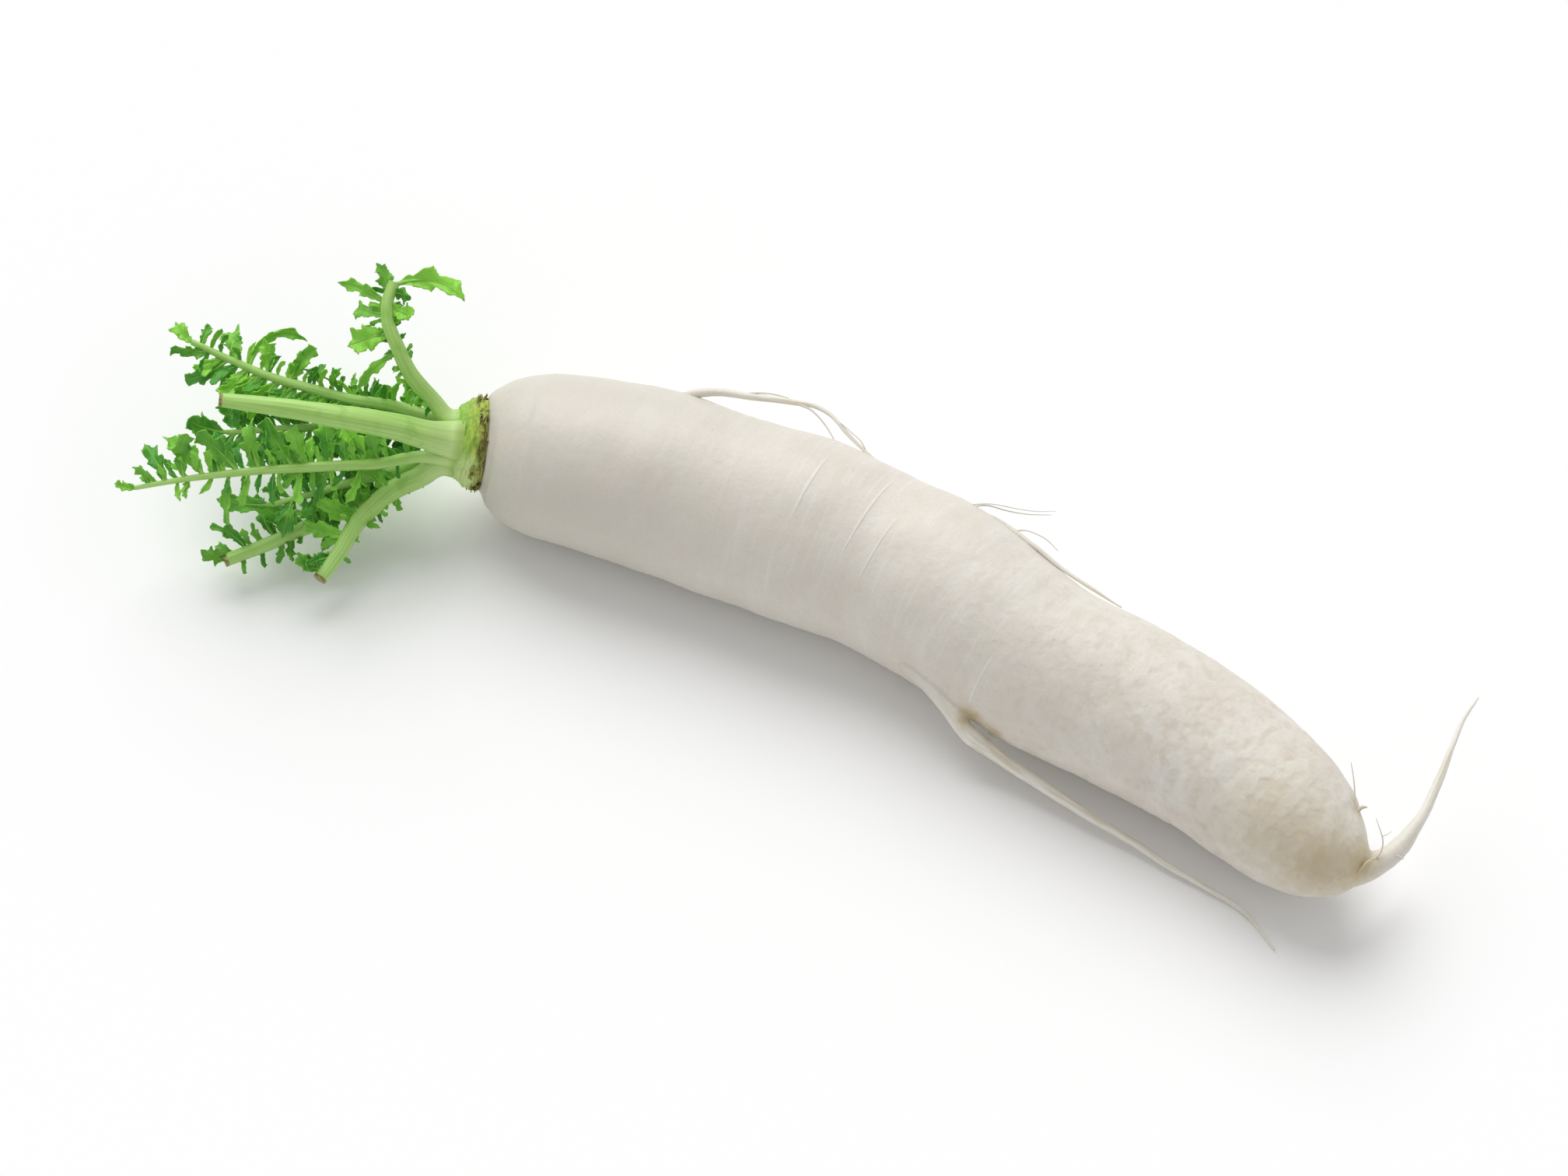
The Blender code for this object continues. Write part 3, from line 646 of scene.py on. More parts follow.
def crown_point(distance, outwards=0.0, angle=0.0):
    """A point this far along the crown from the root, and this far from its axis towards the angle."""
    head = Vector(root_line(0.0)[0][:3])
    upwards = (Vector((0, 0, 1)) - CROWN_AIM * CROWN_AIM.z).normalized()
    frontwards = upwards.cross(CROWN_AIM)
    turn = math.radians(angle)
    sideways = upwards * math.cos(turn) + frontwards * math.sin(turn)
    return head + CROWN_AIM * distance + sideways * outwards


def crown_swell(distance, turn, radius):
    """Scars of old leaves run part of the way round it, between low knobs."""
    side = Vector((0, math.cos(turn), math.sin(turn)))
    along = Vector((distance, 0, 0))
    knobs = CROWN_KNOBS * noise.noise(side * 2.2 + along / (5 * MM))
    scars = CROWN_SCARS * noise.noise(side * 3.2 + along / (1.2 * MM))
    crumple = CROWN_CRUMPLE * noise.noise(side * 14 + along / (0.9 * MM))
    shoulder = max(0.0, distance / CROWN_LENGTH - SHOULDER_START) / (1 - SHOULDER_START)
    return radius * (0.975 + knobs + scars + crumple - SHOULDER_DROP * min(shoulder, 1.0) ** 2)


def crown_skin():
    """Olive green with scars, fresh green above and pale in front, and dry brown threads at its foot."""
    material, wires, shader = plant_finish("crown", 0.6, 1 * MM)
    place = wires.node("ShaderNodeTexCoord", (), (), "Object")
    grain = wires.attribute("grain")
    distance, frontwards, _ = grain.split()
    threads = wires.stretched_cloud(grain, (1 / (0.6 * MM), 2.2, 2.2), 3.0)
    scars = wires.stretched_cloud(grain, (1 / (1.5 * MM), 3.6, 3.6), 3.0)
    mottle = wires.cloud(place, 6 * MM, 3.0, 0.6)
    fine = wires.cloud(place, 0.8 * MM, 3.0, 0.6)
    pale = (distance + threads * (2 * MM)).rise(3.5 * MM, 7 * MM)
    pale = (frontwards + mottle * 0.4).rise(0.75, 1.15) * pale
    dry = (distance + mottle * (6 * MM) + threads * (4 * MM)).rise(10.4 * MM, 6.0 * MM)
    brown = wires.blend(DARK_BROWN, LIGHT_BROWN, threads.rise(0.42, 0.60))
    colour = wires.layers(
        DARK_OLIVE,
        (OLIVE, scars.rise(0.38, 0.66)),
        (YELLOW_OLIVE, mottle.rise(0.42, 0.66) * 0.8),
        (FRESH_GREEN, distance.rise(6 * MM, 11 * MM) * 0.9),
        (PALE_GREEN, pale * 0.85),
        (brown, dry * (0.35 + 0.55 * frontwards.rise(-0.6, 0.5))),
        (THREAD_BROWN, threads.rise(0.55, 0.70) * 0.45),
    )
    height = scars * 0.6 + threads * 0.4 + fine * 0.2
    set_finish(wires, shader, colour, 0.5 + 0.3 * mottle, height, CROWN_RELIEF)
    return material


base_radius = root_line(0.0)[0][3]
end_radius = CROWN_WIDTH / 2
profile = [(-CROWN_SUNK, base_radius - 1 * MM)]
for share, blend in CROWN_PROFILE:
    profile.append((share * CROWN_LENGTH, base_radius + (end_radius - base_radius) * blend))
profile[-1] = (CROWN_LENGTH - GAP, end_radius - 0.5 * MM)
profile += [(CROWN_LENGTH + GAP, end_radius - 3 * MM), (CROWN_LENGTH + 1.5 * MM, 2 * MM)]
route = [(*crown_point(distance), radius) for distance, radius in profile]
rows = through(route, np.linspace(0, 1, CROWN_RINGS + 1))
crown = mesh_piece("crown_stem", tube(rows, CROWN_SIDES, (0, -1, 0), crown_swell), crown_skin())
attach(crown, "root")
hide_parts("crown")

# The leaves
# Eight leaves stand round the crown's end. Each is a ribbed juicy stalk with thin ragged leaflets down its
# sides, and some were cut off short when the radish was trimmed.
LEAF_RING_RADIUS = 8.6 * MM
LEAF_FOOT = 3 * MM  # how far each stalk runs square to the crown's end
STALK_SUNK = 2.5 * MM
VIEWED_FROM = Vector((0.29, -0.50, 0.82)).normalized()  # the side that the leaflets face
SOLID_THICKNESS = 0.7 * MM  # of a leaflet in the solid model, where each is set clear of its neighbours
LEAF_THICKNESS = 0.35 * MM

# Leaflets are rows of: share of the stalk, side, angle from the stalk, length mm, width mm, sideways bend.
# The side is +1 to the right of the stalk as it grows, seen from VIEWED_FROM, and -1 to the left.
# Filling is rows of: first and last share, how many, side, angle, length, width and bend, varied by chance.
WIDTH_SHARES = (0, 0.4, 1)  # of the stalk, where each leaf's widths in mm are given
LEAVES = (
    {
        "name": "leaf_arched",
        "cut": False,
        "place": 333,
        "widths": (6.2, 5.6, 4.0),
        "route": (
            (-180, -28, 46), (-188, -29, 57), (-194, -27, 66), (-200, -23, 72), (-203, -18, 76),
            (-204, -12, 79),
        ),
        "leaflets": (
            (0.42, -1, 125, 14, 4, 0.9), (0.58, -1, 95, 21, 5.5, 0.7), (0.7, -1, 85, 16, 13, 0.2),
            (0.8, -1, 70, 14, 9, 0.3), (0.86, -1, 62, 19, 7, 0.6), (0.78, 1, 95, 10, 7, -0.4),
            (0.86, 1, 110, 11, 9, -0.4), (0.92, -1, 25, 12, 9, 0.3), (0.94, 1, 85, 9, 7, 0.4),
            (0.98, 1, 50, 27, 11.5, 1.3),
        ),
        "filling": ((0.22, 0.6, 4, -1, 75, 4.5, 2.4, 0.4),),
    },
    {
        "name": "leaf_upper",
        "cut": False,
        "place": 289,
        "widths": (4.8, 3.8, 2.2),
        "route": (
            (-185, -28, 35), (-197, -32, 37), (-209, -37, 38), (-222, -41, 40), (-236, -45, 42),
            (-251, -47, 44), (-266, -49, 47),
        ),
        "leaflets": (
            (0.62, 1, 105, 16, 9, 0.4), (0.7, 1, 80, 13, 8.5, -0.6), (0.77, 1, 80, 27, 5.5, 2.1),
            (0.82, 1, 62, 15, 10, -0.7), (0.85, -1, 60, 18, 8, -0.5), (0.92, -1, 30, 15, 7, -0.4),
            (0.96, 1, 75, 9, 5, 0.3), (0.99, 1, 10, 11, 7.5, 0.5),
        ),
        "filling": ((0.12, 0.62, 13, 1, 68, 10, 2.8, 1.5), (0.22, 0.80, 10, -1, 65, 17, 10.0, -0.6)),
    },
    {
        "name": "leaf_cut_thick",
        "cut": True,
        "place": 34,
        "widths": (10.0, 8.8, 4.8),
        "route": (
            (-176, -42, 46), (-185, -49, 53), (-195, -56, 58), (-207, -63, 62), (-220, -70, 65),
            (-234, -77, 67),
        ),
        "leaflets": (),
        "filling": (),
    },
    {
        "name": "leaf_long",
        "cut": False,
        "place": 88,
        "widths": (4.2, 3.6, 1.6),
        "route": (
            (-177, -43, 33), (-186, -54, 36), (-200, -67, 40), (-215, -80, 43), (-226, -90, 45),
            (-237, -100, 46), (-249, -110, 45),
        ),
        "leaflets": (
            (0.83, -1, 60, 7, 4, 0.3), (0.95, 1, 60, 9, 5, 0.4), (0.99, 1, 8, 8, 4.5, 0.5),
        ),
        "filling": ((0.20, 0.93, 13, 1, 70, 17, 9.0, 0.7), (0.26, 0.76, 6, -1, 62, 15, 5.0, 0.9)),
    },
    {
        "name": "leaf_front",
        "cut": True,
        "place": 136,
        "widths": (8.4, 6.8, 4.8),
        "route": (
            (-177, -46, 24), (-181, -53, 24), (-184, -62, 23), (-186, -71, 21), (-186, -82, 18),
            (-187, -94, 15),
        ),
        "leaflets": (
            (0.38, 1, 85, 22, 9, 0.5), (0.55, 1, 50, 18, 9, 0.7), (0.6, -1, 100, 9, 3.5, 0.4),
            (0.7, 1, 62, 17, 9, 0.4), (0.84, 1, 50, 15, 8, -0.5), (0.95, 1, 80, 13, 8, 0.5),
        ),
        "filling": ((0.25, 0.75, 3, -1, 70, 5, 2.6, 0.5),),
    },
    {
        "name": "leaf_low",
        "cut": True,
        "place": 186,
        "widths": (5.0, 5.6, 4.4),
        "route": (
            (-177, -37, 17), (-186, -49, 15), (-194, -62, 14), (-203, -75, 13), (-213, -89, 11),
            (-222, -101, 10),
        ),
        "leaflets": (
            (0.45, 1, 60, 15, 8.5, 0.3), (0.55, -1, 60, 13, 7, -0.4), (0.64, 1, 35, 24, 11, 0.4),
            (0.72, -1, 55, 12, 6, 0.5), (0.78, 1, 70, 20, 6, 0.9), (0.9, 1, 75, 17, 6, -0.8),
            (0.96, 1, 20, 13, 8, 0.5),
        ),
        "filling": ((0.25, 0.6, 4, 1, 70, 11, 6.0, 0.5),),
    },
    {
        "name": "leaf_middle",
        "cut": False,
        "place": 221,
        "widths": (4.2, 4.0, 1.8),
        "route": ((-179, -37, 24), (-188, -49, 23), (-197, -59, 23), (-206, -70, 23), (-215, -80, 23)),
        "leaflets": (
            (0.8, 1, 60, 19, 8, 0.9), (0.99, 1, 10, 20, 10, 0.4),
        ),
        "filling": ((0.28, 0.75, 5, 1, 62, 15, 9.0, 0.5), (0.30, 0.92, 6, -1, 58, 14, 7.5, 0.5)),
    },
    {
        "name": "leaf_inner",
        "cut": False,
        "place": 254,
        "widths": (4.2, 3.8, 1.8),
        "route": (
            (-184, -29, 27), (-197, -35, 27), (-209, -41, 27), (-220, -49, 28), (-231, -58, 30),
            (-241, -67, 32),
        ),
        "leaflets": (
            (0.99, 1, 10, 20, 11, 0.5), (0.96, -1, 42, 18, 10, 0.6),
        ),
        "filling": ((0.16, 0.95, 9, 1, 64, 18, 10.5, 0.6), (0.20, 0.88, 8, -1, 62, 18, 10.0, 0.6)),
    },
)
SOLID_RINGS = 10  # the coarse stalk that the leaflets are set on
SOLID_SIDES = 8
STALK_RINGS = 90
STALK_SIDES = 36
BROAD_LEAFLET = 3.7 * MM  # slimmer ones are plain claws
BIG_GRID = (7, 2)  # rows along a leaflet of the solid model and columns across it
SMALL_GRID = (4, 1)
MOST_CROSSINGS = 4  # of a leaflet with others of its own leaf

# What chance may give each leaflet of the filling: its place in its own stretch of the stalk, its size and
# bend as shares, and degrees more or less
LEAF_SEED = 10
FINE_SEED = 21
PLACE_SPREAD = (0.3, 0.7)
SIZE_SPREAD = (0.8, 1.2)
BEND_SPREAD = (0.3, 1.3)
ANGLE_SPREAD = (-14, 14)
CURL = (-1.1, 1.3)
TWIST = (-1.2, 1.2)

# A leaflet's half width at a lobe and at a notch, as shares of its full one. It swells from a slim foot and
# closes at a blunt tip by these powers, and each lobe leans towards the tip.
LOBE = (0.72, 1.0)
NOTCH = (0.35, 0.68)
FOOT_POWER = 0.6
TIP_POWER = 4
FULLEST = 0.65
LOBE_LEAN = 0.6
LEAST_HALF_WIDTH = 0.5 * MM

# A leaflet is a low trough whose edges wave, as shares of its half width
BEND_POWER = 1.3
TROUGH = 0.3
RUFFLE = 0.35
RUFFLE_TURNS = 11.0

# Turns about the stalk that a leaflet tries, in degrees, until it hangs clear of what is already there
TURNS = (0, 20, -20, 40, -40, 60, -60, 80, -80, 100, -100)
GROUND_CLEARANCE = 1.0 * MM

# Small leaflets between the others, too many for the solid model, in rows like those of a leaf's filling
SMALL_LEAFLETS = {
    "leaf_arched": ((0.12, 0.95, 12, -1, 75, 6, 2.6, 0.9), (0.45, 0.98, 7, 1, 80, 6, 2.8, -0.6)),
    "leaf_upper": (
        (0.08, 0.95, 22, 1, 66, 9, 3.2, 1.2), (0.10, 0.95, 22, -1, 66, 11, 4.6, 0.8),
        (0.20, 0.90, 12, -1, 60, 14, 6.0, -0.5),
    ),
    "leaf_long": ((0.12, 0.95, 24, 1, 64, 10, 4.0, 0.8), (0.15, 0.90, 14, -1, 66, 8, 3.0, 0.9)),
    "leaf_front": ((0.25, 0.95, 8, 1, 62, 9, 4.0, 0.7), (0.20, 0.90, 5, -1, 70, 5, 2.4, 0.6)),
    "leaf_low": ((0.20, 0.97, 14, 1, 62, 11, 4.6, 0.7), (0.25, 0.95, 9, -1, 62, 8, 3.6, 0.6)),
    "leaf_middle": ((0.15, 0.97, 16, 1, 62, 11, 4.6, 0.7), (0.15, 0.95, 16, -1, 60, 11, 4.6, 0.7)),
    "leaf_inner": ((0.10, 0.97, 20, 1, 62, 13, 5.4, 0.7), (0.12, 0.95, 20, -1, 62, 13, 5.4, 0.7)),
}
MOST_SMALL_CROSSINGS = 9  # of a small leaflet with others of its own leaf
# Leaves inside the bunch are painted darker than the others, as painted shade
PAINTED_SHADE_BRIGHTNESS = {"leaf_long": 0.90, "leaf_low": 0.85, "leaf_middle": 0.55, "leaf_inner": 0.35}
SMALL_ROWS = 14
SMALL_COLUMNS = 4

# What the eye sees on top of the solid leaflets: small teeth, puckers and a finer wave of the edge
BLADE_ROWS = 42
BLADE_COLUMNS = 10
TOOTH_PITCH = 1.7 * MM
TOOTH_DEPTH = 0.16  # of the half width
PUCKER_SIZE = 2.6 * MM
PUCKER_DEPTH = 0.5 * MM
FINE_RUFFLE = 0.18
FINE_RUFFLE_RATE = 2.7  # finer than the edge's wave by this much
RIB_SHARES = (0, 0.2, 0.6, 1)  # of a leaflet's length, where its middle rib has these shares of its width
RIB_WIDTHS = (0.1, 0.05, 0.02, 0.01)
LEAST_RIB = 0.1 * MM
STALK_RELIEF = 0.12 * MM
LEAF_RELIEF = 0.3 * MM
RIB_RINGS = 14
RIB_SIDES = 6
CUT_STAIN = 0.6 * MM


def ragged(rows, chance):
    """How full a leaflet's left and right halves are at each row of its length, and how far the edge leans
    towards the tip there. Lobes and notches take turns, from a slim foot to a blunt tip."""
    first = chance.integers(0, 2)
    edge = np.zeros((rows + 1, 3))
    for row in range(1, rows):
        share = row / rows
        lobe = (row + first) % 2
        most = share**FOOT_POWER * (1 - share**TIP_POWER) / FULLEST
        edge[row, :2] = chance.uniform(*(LOBE if lobe else NOTCH), 2) * most
        edge[row, 2] = LOBE_LEAN / rows * lobe
    return edge


def finer(edge, length, rows, chance):
    """The same edge at many more rows, with small teeth that point to the tip."""
    shares = np.linspace(0, 1, rows + 1)
    fine = np.column_stack([np.interp(shares, np.linspace(0, 1, len(edge)), half) for half in edge.T])
    for side in range(2):
        tooth = (shares * length / TOOTH_PITCH + chance.uniform()) % 1.0
        fine[:, side] *= 1 - TOOTH_DEPTH * tooth * chance.uniform(0.5, 1.5, len(shares))
    return fine


def spine(length, bend, curl, rows):
    """The leaflet's middle line: bend turns it sideways, and curl turns it out of its plane."""
    shares = np.linspace(0, 1, rows + 1)
    sideways = bend * shares**BEND_POWER
    outwards = curl * shares
    flat = np.cos(outwards)
    steps = np.column_stack([np.cos(sideways) * flat, np.sin(sideways) * flat, np.sin(outwards)])
    return np.concatenate([[(0, 0, 0)], np.cumsum((steps[1:] + steps[:-1]) / 2, axis=0)]) * length / rows


def thickened(bm, thickness):
    """Gives a sheet a second face this far behind the first, joined to it all round the edge."""
    bm.normal_update()
    front = bm.verts[:]
    border = [edge for edge in bm.edges if edge.is_boundary]
    behind = bmesh.ops.duplicate(bm, geom=front + bm.edges[:] + bm.faces[:])["vert_map"]
    for vert in front:
        behind[vert].co = vert.co - vert.normal * thickness
    for edge in border:
        first, second = edge.verts
        bm.faces.new((first, second, behind[second], behind[first]))
    bmesh.ops.recalc_face_normals(bm, faces=bm.faces)


def blade(place, length, width, bend, curl, twist, edge, columns, thickness, hue=None):
    """A thin ragged leaflet, which twist winds. With a hue, from 0 to 1, it is one that the eye sees."""
    rows = len(edge) - 1
    bm = bmesh.new()
    leaf_place = bm.verts.layers.float_vector.new("blade")
    bmesh.ops.create_grid(bm, x_segments=rows, y_segments=columns, size=0.5)
    middle = spine(length, bend, curl, rows)
    along, across = frames(middle, (0, 1, 0))
    for vert in bm.verts:
        share = vert.co.x + 0.5
        row = round(share * rows)
        out = vert.co.y * 2
        half = max(width / 2 * edge[row, int(out > 0)], LEAST_HALF_WIDTH * (1 - share))
        over = np.cross(along[row], across[row])
        turn = twist * share
        lean = math.cos(turn) * across[row] + math.sin(turn) * over
        fold = math.cos(turn) * over - math.sin(turn) * across[row]
        ruffle = TROUGH + RUFFLE * math.sin(RUFFLE_TURNS * share + 2 * out + length / MM)
        rise = half * ruffle * abs(out)
        if hue is not None:
            spot = Vector((share * length, out * half, hue)) / PUCKER_SIZE
            wave = math.sin(FINE_RUFFLE_RATE * RUFFLE_TURNS * share + 40 * hue * out)
            rise += half * FINE_RUFFLE * out * out * wave
            rise += PUCKER_DEPTH * min(1.0, 3 * abs(out)) * noise.noise(spot)
            vert[leaf_place] = (share, out, hue)
        reach = middle[row] + abs(out) * edge[row, 2] * length * along[row]
        vert.co = reach + half * out * lean + rise * fold
    bmesh.ops.remove_doubles(bm, verts=bm.verts, dist=0.02 * MM)
    bmesh.ops.triangulate(bm, faces=bm.faces)
    if hue is None:
        bmesh.ops.solidify(bm, geom=bm.faces[:], thickness=thickness)
    else:
        thickened(bm, thickness)
    bmesh.ops.transform(bm, matrix=place, verts=bm.verts)
    return bm


def leaflet_place(point, direction, facing):
    """A leaflet's own X runs along it, and its Z is the side that it shows."""
    normal = (facing - direction * facing.dot(direction)).normalized()
    place = Matrix.Identity(3)
    place.col[0] = direction
    place.col[1] = normal.cross(direction)
    place.col[2] = normal
    return Matrix.Translation(point) @ place.to_4x4()


def tree_of(bm):
    """What tells whether this mesh crosses others. The mesh is freed."""
    bmesh.ops.triangulate(bm, faces=bm.faces)
    tree = BVHTree.FromBMesh(bm)
    bm.free()
    return tree


def solid_tree(node):
    """The same for a node of the solid model."""
    bm = bmesh.new()
    bm.from_mesh(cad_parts[node].data)
    return tree_of(bm)


def square_off(bm, distance):
    """Presses what passes the plane this far along the crown back to it."""
    level = crown_point(distance)
    for vert in bm.verts:
        beyond = (level - vert.co).dot(CROWN_AIM)
        vert.co += CROWN_AIM * max(beyond, 0.0)


def stalk_rows(leaf, rings, sunk=0.0):
    """The stalk's rows of x, y, z and radius. It leaves the crown square to the crown's end."""
    angle = leaf["place"]
    start = [crown_point(CROWN_LENGTH + step, LEAF_RING_RADIUS, angle) for step in (GAP - sunk, LEAF_FOOT)]
    points = np.array([*start, *(Vector(point) * MM for point in leaf["route"])])
    shares = np.linspace(0, 1, rings + 1)
    widths = np.interp(shares, WIDTH_SHARES, leaf["widths"]) * MM
    return np.column_stack([through(points, shares), widths / 2])


def spread_out(filling, chance):
    """Leaflets spread along the stalk, with some chance in each."""
    rows = []
    for first, last, count, side, angle, length, width, bend in filling:
        for i in range(count):
            share = first + (last - first) * (i + chance.uniform(*PLACE_SPREAD)) / count
            size = chance.uniform(*SIZE_SPREAD)
            curve = bend * chance.uniform(*BEND_SPREAD) * chance.choice((1, 1, -1))
            turned = angle + chance.uniform(*ANGLE_SPREAD)
            rows.append((share, side, turned, length * size, width * size, curve))
    return rows


def other_trees(name):
    """The root, the crown and all of the leaves but this one, to test a leaflet against."""
    return solid + [tree for other, found in trees.items() if other != name for tree in found]


def solid_stalk(rows):
    """A leaf's stalk as in the solid model, with the gap round it."""
    bm = tube(rows + (0, 0, 0, GAP), SOLID_SIDES, VIEWED_FROM)
    square_off(bm, CROWN_LENGTH + GAP)
    return bm


def grow(leaflets, rows, chance, taken, own, most_crossings):
    """Sets each leaflet on the stalk, turned until it is clear of the other leaves, as in the solid model.
    Gives what each blade is made from. A tree of each, with the gap round it, joins the leaf's own."""
    grown = []
    for share, side, angle, length, width, bend in leaflets:
        curl = chance.uniform(*CURL)
        twist = chance.uniform(*TWIST)
        grid_rows, columns = BIG_GRID if width * MM > BROAD_LEAFLET else SMALL_GRID
        edge = ragged(grid_rows, chance)
        row = round(share * SOLID_RINGS)
        ring_shares = np.linspace(0, 1, SOLID_RINGS + 1)
        point = Vector([np.interp(share, ring_shares, rows[:, axis]) for axis in range(3)])
        along = Vector(rows[min(row + 1, SOLID_RINGS), :3] - rows[max(row - 1, 0), :3]).normalized()
        lean = math.radians(angle)
        for turn in TURNS:
            facing = Matrix.Rotation(math.radians(turn), 3, along) @ VIEWED_FROM
            across = along.cross(facing).normalized() * side
            direction = along * math.cos(lean) + across * math.sin(lean)
            place = leaflet_place(point, direction, facing)
            form = (place, length * MM, width * MM, -side * bend, curl, twist, edge)
            trial = blade(*form, columns, SOLID_THICKNESS + 2 * GAP)
            lowest = min(vert.co.z for vert in trial.verts)
            tree = tree_of(trial)
            crossing = any(tree.overlap(other) for other in taken)
            crowded = sum(bool(tree.overlap(other)) for other in own)
            if lowest > GROUND_CLEARANCE and not crossing and crowded < most_crossings:
                grown.append(form)
                own.append(tree)
                break
    return grown


def stalk_swell(distance, turn, radius):
    """Fine ribs run the length of a stalk, and its foot widens round the crown to meet its neighbours."""
    ribs = 0.018 * math.cos(11 * turn) + 0.02 * math.sin(5 * turn + 1 + 20 * distance)
    foot = math.exp(-distance / (8 * MM))
    clasp = foot * (0.60 * math.sin(turn) ** 2 - 0.04)
    side = Vector((distance / (9 * MM), math.cos(turn), math.sin(turn)))
    return radius * (1 + ribs + clasp + 0.06 * noise.noise(side))


def rib(place, length, width, bend, curl):
    """A leaflet's own stalk and middle rib, tapering to its tip."""
    middle = spine(length, bend, curl, RIB_RINGS)
    shares = np.linspace(0, 1, RIB_RINGS + 1)
    radii = np.maximum(np.interp(shares, RIB_SHARES, RIB_WIDTHS) * width, LEAST_RIB)
    bm = tube(np.column_stack([middle, radii]), RIB_SIDES, (0, 1, 0), None, 1.0)
    bmesh.ops.transform(bm, matrix=place, verts=bm.verts)
    return bm


def stalk_skin():
    """Pale green with fibres along it, palest at its foot. Leaflets' ribs are greener, cut ends brown."""
    material, wires, shader = plant_finish("leaf_stalk", 0.45, 2 * MM)
    place = wires.node("ShaderNodeTexCoord", (), (), "Object")
    grain = wires.attribute("grain")
    branch = wires.attribute("part", "Fac")
    cut = wires.attribute("cut", "Fac")
    distance = grain.split()[0]
    fibres = wires.stretched_cloud(grain, (25.0, 6.0, 6.0), 3.0)
    mottle = wires.cloud(place, 6 * MM, 3.0)
    fine = wires.cloud(place, 0.7 * MM, 3.0, 0.6)
    stem = 1 - branch
    brown = wires.blend(rgb(0.33, 0.3, 0.09), rgb(0.13, 0.11, 0.025), fine.rise(0.4, 0.65))
    colour = wires.layers(
        rgb(0.345, 0.615, 0.12),
        (rgb(0.49, 0.755, 0.24), fibres.rise(0.30, 0.74)),
        (rgb(0.24, 0.54, 0.065), mottle.rise(0.5, 0.75) * 0.5),
        (rgb(0.64, 0.82, 0.35), distance.rise(24 * MM, 3 * MM) * stem * 0.65),
        (rgb(0.33, 0.5, 0.08), distance.rise(5 * MM, 0.5 * MM) * stem * 0.75),
        (rgb(0.27, 0.59, 0.08), branch * 0.8),
        (brown, (cut + (fine - 0.5) * 0.6).rise(0.35, 0.75)),
    )
    set_finish(wires, shader, colour, 0.38 + 0.2 * fine, fibres * 0.7 + fine * 0.3, STALK_RELIEF)
    return material


def leaf_skin():
    """A green that varies from leaflet to leaflet, with paler veins and edges, and painted shade that
    darkens it low in the bunch.
    """
    material, wires, shader = plant_finish("leaf", 0.45, 1 * MM)
    place = wires.node("ShaderNodeTexCoord", (), (), "Object")
    share, out, hue = wires.attribute("blade").split()
    clouds = wires.cloud(place, 9 * MM, 2.0)
    fine = wires.cloud(place, 0.9 * MM, 3.0, 0.6)
    width = abs(out)
    phase = (share - width * 0.16) * 7 + fine * 0.4
    side_veins = abs(phase.maths("FRACT", phase) - 0.5).rise(0.40, 0.5) * width.rise(1.0, 0.5)
    middle = width.rise(0.14, 0.02) * share.rise(0.9, 0.3)
    veins = side_veins.maths("MAXIMUM", side_veins * 0.4, middle * 0.8)
    light = (clouds * 0.7 + hue * 0.85 + fine * 0.15).rise(0.40, 1.20)
    # Painted shade: leaflets low in the bunch are darkened, as if shaded by the others.
    painted_shade_low = (place.split()[2] + clouds * (16 * MM)).rise(38 * MM, 18 * MM)
    colour = wires.layers(
        rgb(0.04, 0.3, 0.016),
        (rgb(0.28, 0.7, 0.058), light),
        (rgb(0.03, 0.22, 0.03), fine.rise(0.52, 0.8) * 0.3),
        (rgb(0.4, 0.74, 0.15), veins * 0.35),
        (rgb(0.35, 0.68, 0.08), width.rise(0.80, 1.0) * 0.3),
        (rgb(0.028, 0.21, 0.02), painted_shade_low * 0.40),
    )
    set_finish(wires, shader, colour, 0.36 + 0.22 * fine, fine * 0.5 - veins * 0.5, LEAF_RELIEF)
    return material


stalk_finish = stalk_skin()
leaf_finish = leaf_skin()
chance = np.random.default_rng(LEAF_SEED)
fine_chance = np.random.default_rng(FINE_SEED)
coarse = {leaf["name"]: stalk_rows(leaf, SOLID_RINGS) for leaf in LEAVES}
solid = [solid_tree(name) for name in ("root", "crown")]
trees = {name: [tree_of(solid_stalk(rows))] for name, rows in coarse.items()}
plans = {}
for leaf in LEAVES:
    name = leaf["name"]
    leaflets = [*leaf["leaflets"], *spread_out(leaf["filling"], chance)]
    own = []
    plans[name] = grow(leaflets, coarse[name], chance, other_trees(name), own, MOST_CROSSINGS)
    trees[name] += own
small_plans = {}
for name, filling in SMALL_LEAFLETS.items():
    leaflets = spread_out(filling, fine_chance)
    taken = other_trees(name)
    small_plans[name] = grow(leaflets, coarse[name], fine_chance, taken, trees[name], MOST_SMALL_CROSSINGS)
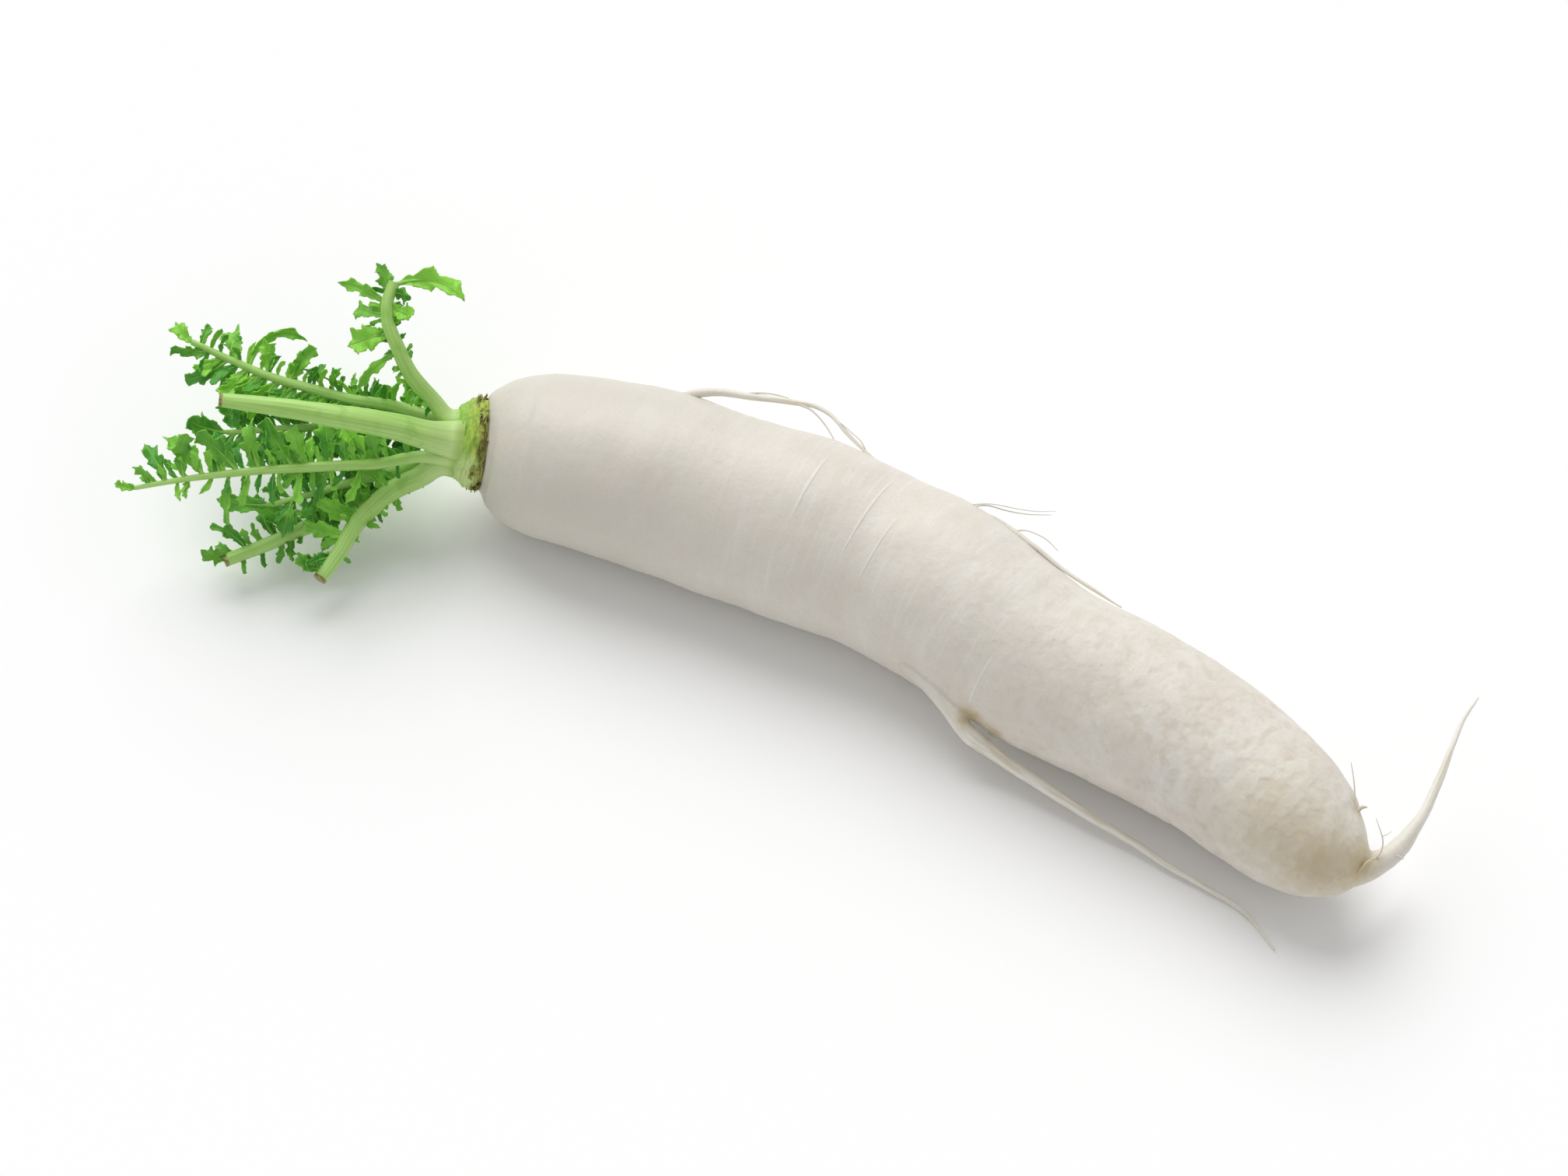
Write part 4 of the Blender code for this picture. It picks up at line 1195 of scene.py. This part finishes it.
for leaf in LEAVES:
    name = leaf["name"]
    rows = stalk_rows(leaf, STALK_RINGS, STALK_SUNK)
    outwards = crown_point(0, 1, leaf["place"]) - crown_point(0)
    stem = tube(rows, STALK_SIDES, outwards, stalk_swell)
    stalk = gathered([stem] + [rib(*form[:5]) for form in plans[name]])
    end = Vector(rows[-1, :3])
    cut = stalk.verts.layers.float.new("cut")
    if leaf["cut"]:
        for vert in stalk.verts:
            vert[cut] = min(1.0, max(0.0, 1 - ((vert.co - end).length - rows[-1, 3]) / CUT_STAIN))
    made = [mesh_piece(name + "_stalk", kept_in(stalk), stalk_finish, 60)]
    blades = []
    small = small_plans.get(name, ())
    for forms, blade_rows, columns in (
        (plans[name], BLADE_ROWS, BLADE_COLUMNS),
        (small, SMALL_ROWS, SMALL_COLUMNS),
    ):
        for *form, edge in forms:
            fine_edge = finer(edge, form[1], blade_rows, fine_chance)
            # Leaves inside the bunch get darker tones here, as painted shade.
            hue = fine_chance.uniform() * PAINTED_SHADE_BRIGHTNESS.get(name, 1.0)
            blades.append(blade(*form, fine_edge, columns, LEAF_THICKNESS, hue))
    if blades:
        made.append(mesh_piece(name + "_leaflets", kept_in(gathered(blades)), leaf_finish))
    for piece in made:
        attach(piece, "root")
        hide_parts(name)

# The dry scales
# Thin brown rags of old leaves that still sit round the joint between the crown and the white root. They
# are dead and papery, and grow from the crown's foot.
SCALES = 70
SCALE_ROWS = 6
SCALE_COLUMNS = 3
SCALE_THICKNESS = 0.2 * MM
SCALE_LENGTH = (1.0, 2.2)
SCALE_WIDTH = (2.6, 7.5)
SCALE_DISTANCE = (-0.3, 3.0)
SCALE_LEAN = (10, 34)  # degrees away from the crown
SCALE_SKEW = (-14, 14)  # degrees round it
SCALE_SUNK = 0.55 * MM
SCALE_CURL = (-0.6, 0.3)
SCALE_TWIST = (-0.4, 0.4)
SCALE_SEED = 5


def scale_skin():
    """Brown to olive, and rough."""
    material, wires, shader = plant_finish("dry_scale", 0.7, 0.5 * MM)
    place = wires.node("ShaderNodeTexCoord", (), (), "Object")
    fine = wires.cloud(place, 0.9 * MM, 3.0, 0.6)
    hue = wires.attribute("blade").split()[2]
    light = (hue + fine * 0.6).rise(0.45, 0.95)
    colour = wires.blend(rgb(0.16, 0.13, 0.028), rgb(0.4, 0.43, 0.09), light)
    set_finish(wires, shader, colour, 0.6 + 0.2 * fine, fine, 0.2 * MM)
    return material


scales = []
scale_chance = np.random.default_rng(SCALE_SEED)
for number in range(SCALES):
    angle = 360 * (number + scale_chance.uniform()) / SCALES
    distance = scale_chance.uniform(*SCALE_DISTANCE) * MM
    foot = crown_point(distance, base_radius - SCALE_SUNK, angle)
    outwards = (crown_point(0, 1, angle) - crown_point(0)).normalized()
    lean = math.radians(scale_chance.uniform(*SCALE_LEAN))
    skew = Matrix.Rotation(math.radians(scale_chance.uniform(*SCALE_SKEW)), 3, outwards)
    direction = skew @ (CROWN_AIM * math.cos(lean) + outwards * math.sin(lean))
    place = leaflet_place(foot, direction, outwards)
    length, width = scale_chance.uniform(*SCALE_LENGTH) * MM, scale_chance.uniform(*SCALE_WIDTH) * MM
    edge = ragged(SCALE_ROWS, scale_chance)
    curl, twist = scale_chance.uniform(*SCALE_CURL), scale_chance.uniform(*SCALE_TWIST)
    hue = scale_chance.uniform()
    scales.append(blade(place, length, width, 0.0, curl, twist, edge, SCALE_COLUMNS, SCALE_THICKNESS, hue))
scales = mesh_piece("dry_scales", gathered(scales), scale_skin())
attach(scales, "root")
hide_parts("crown")
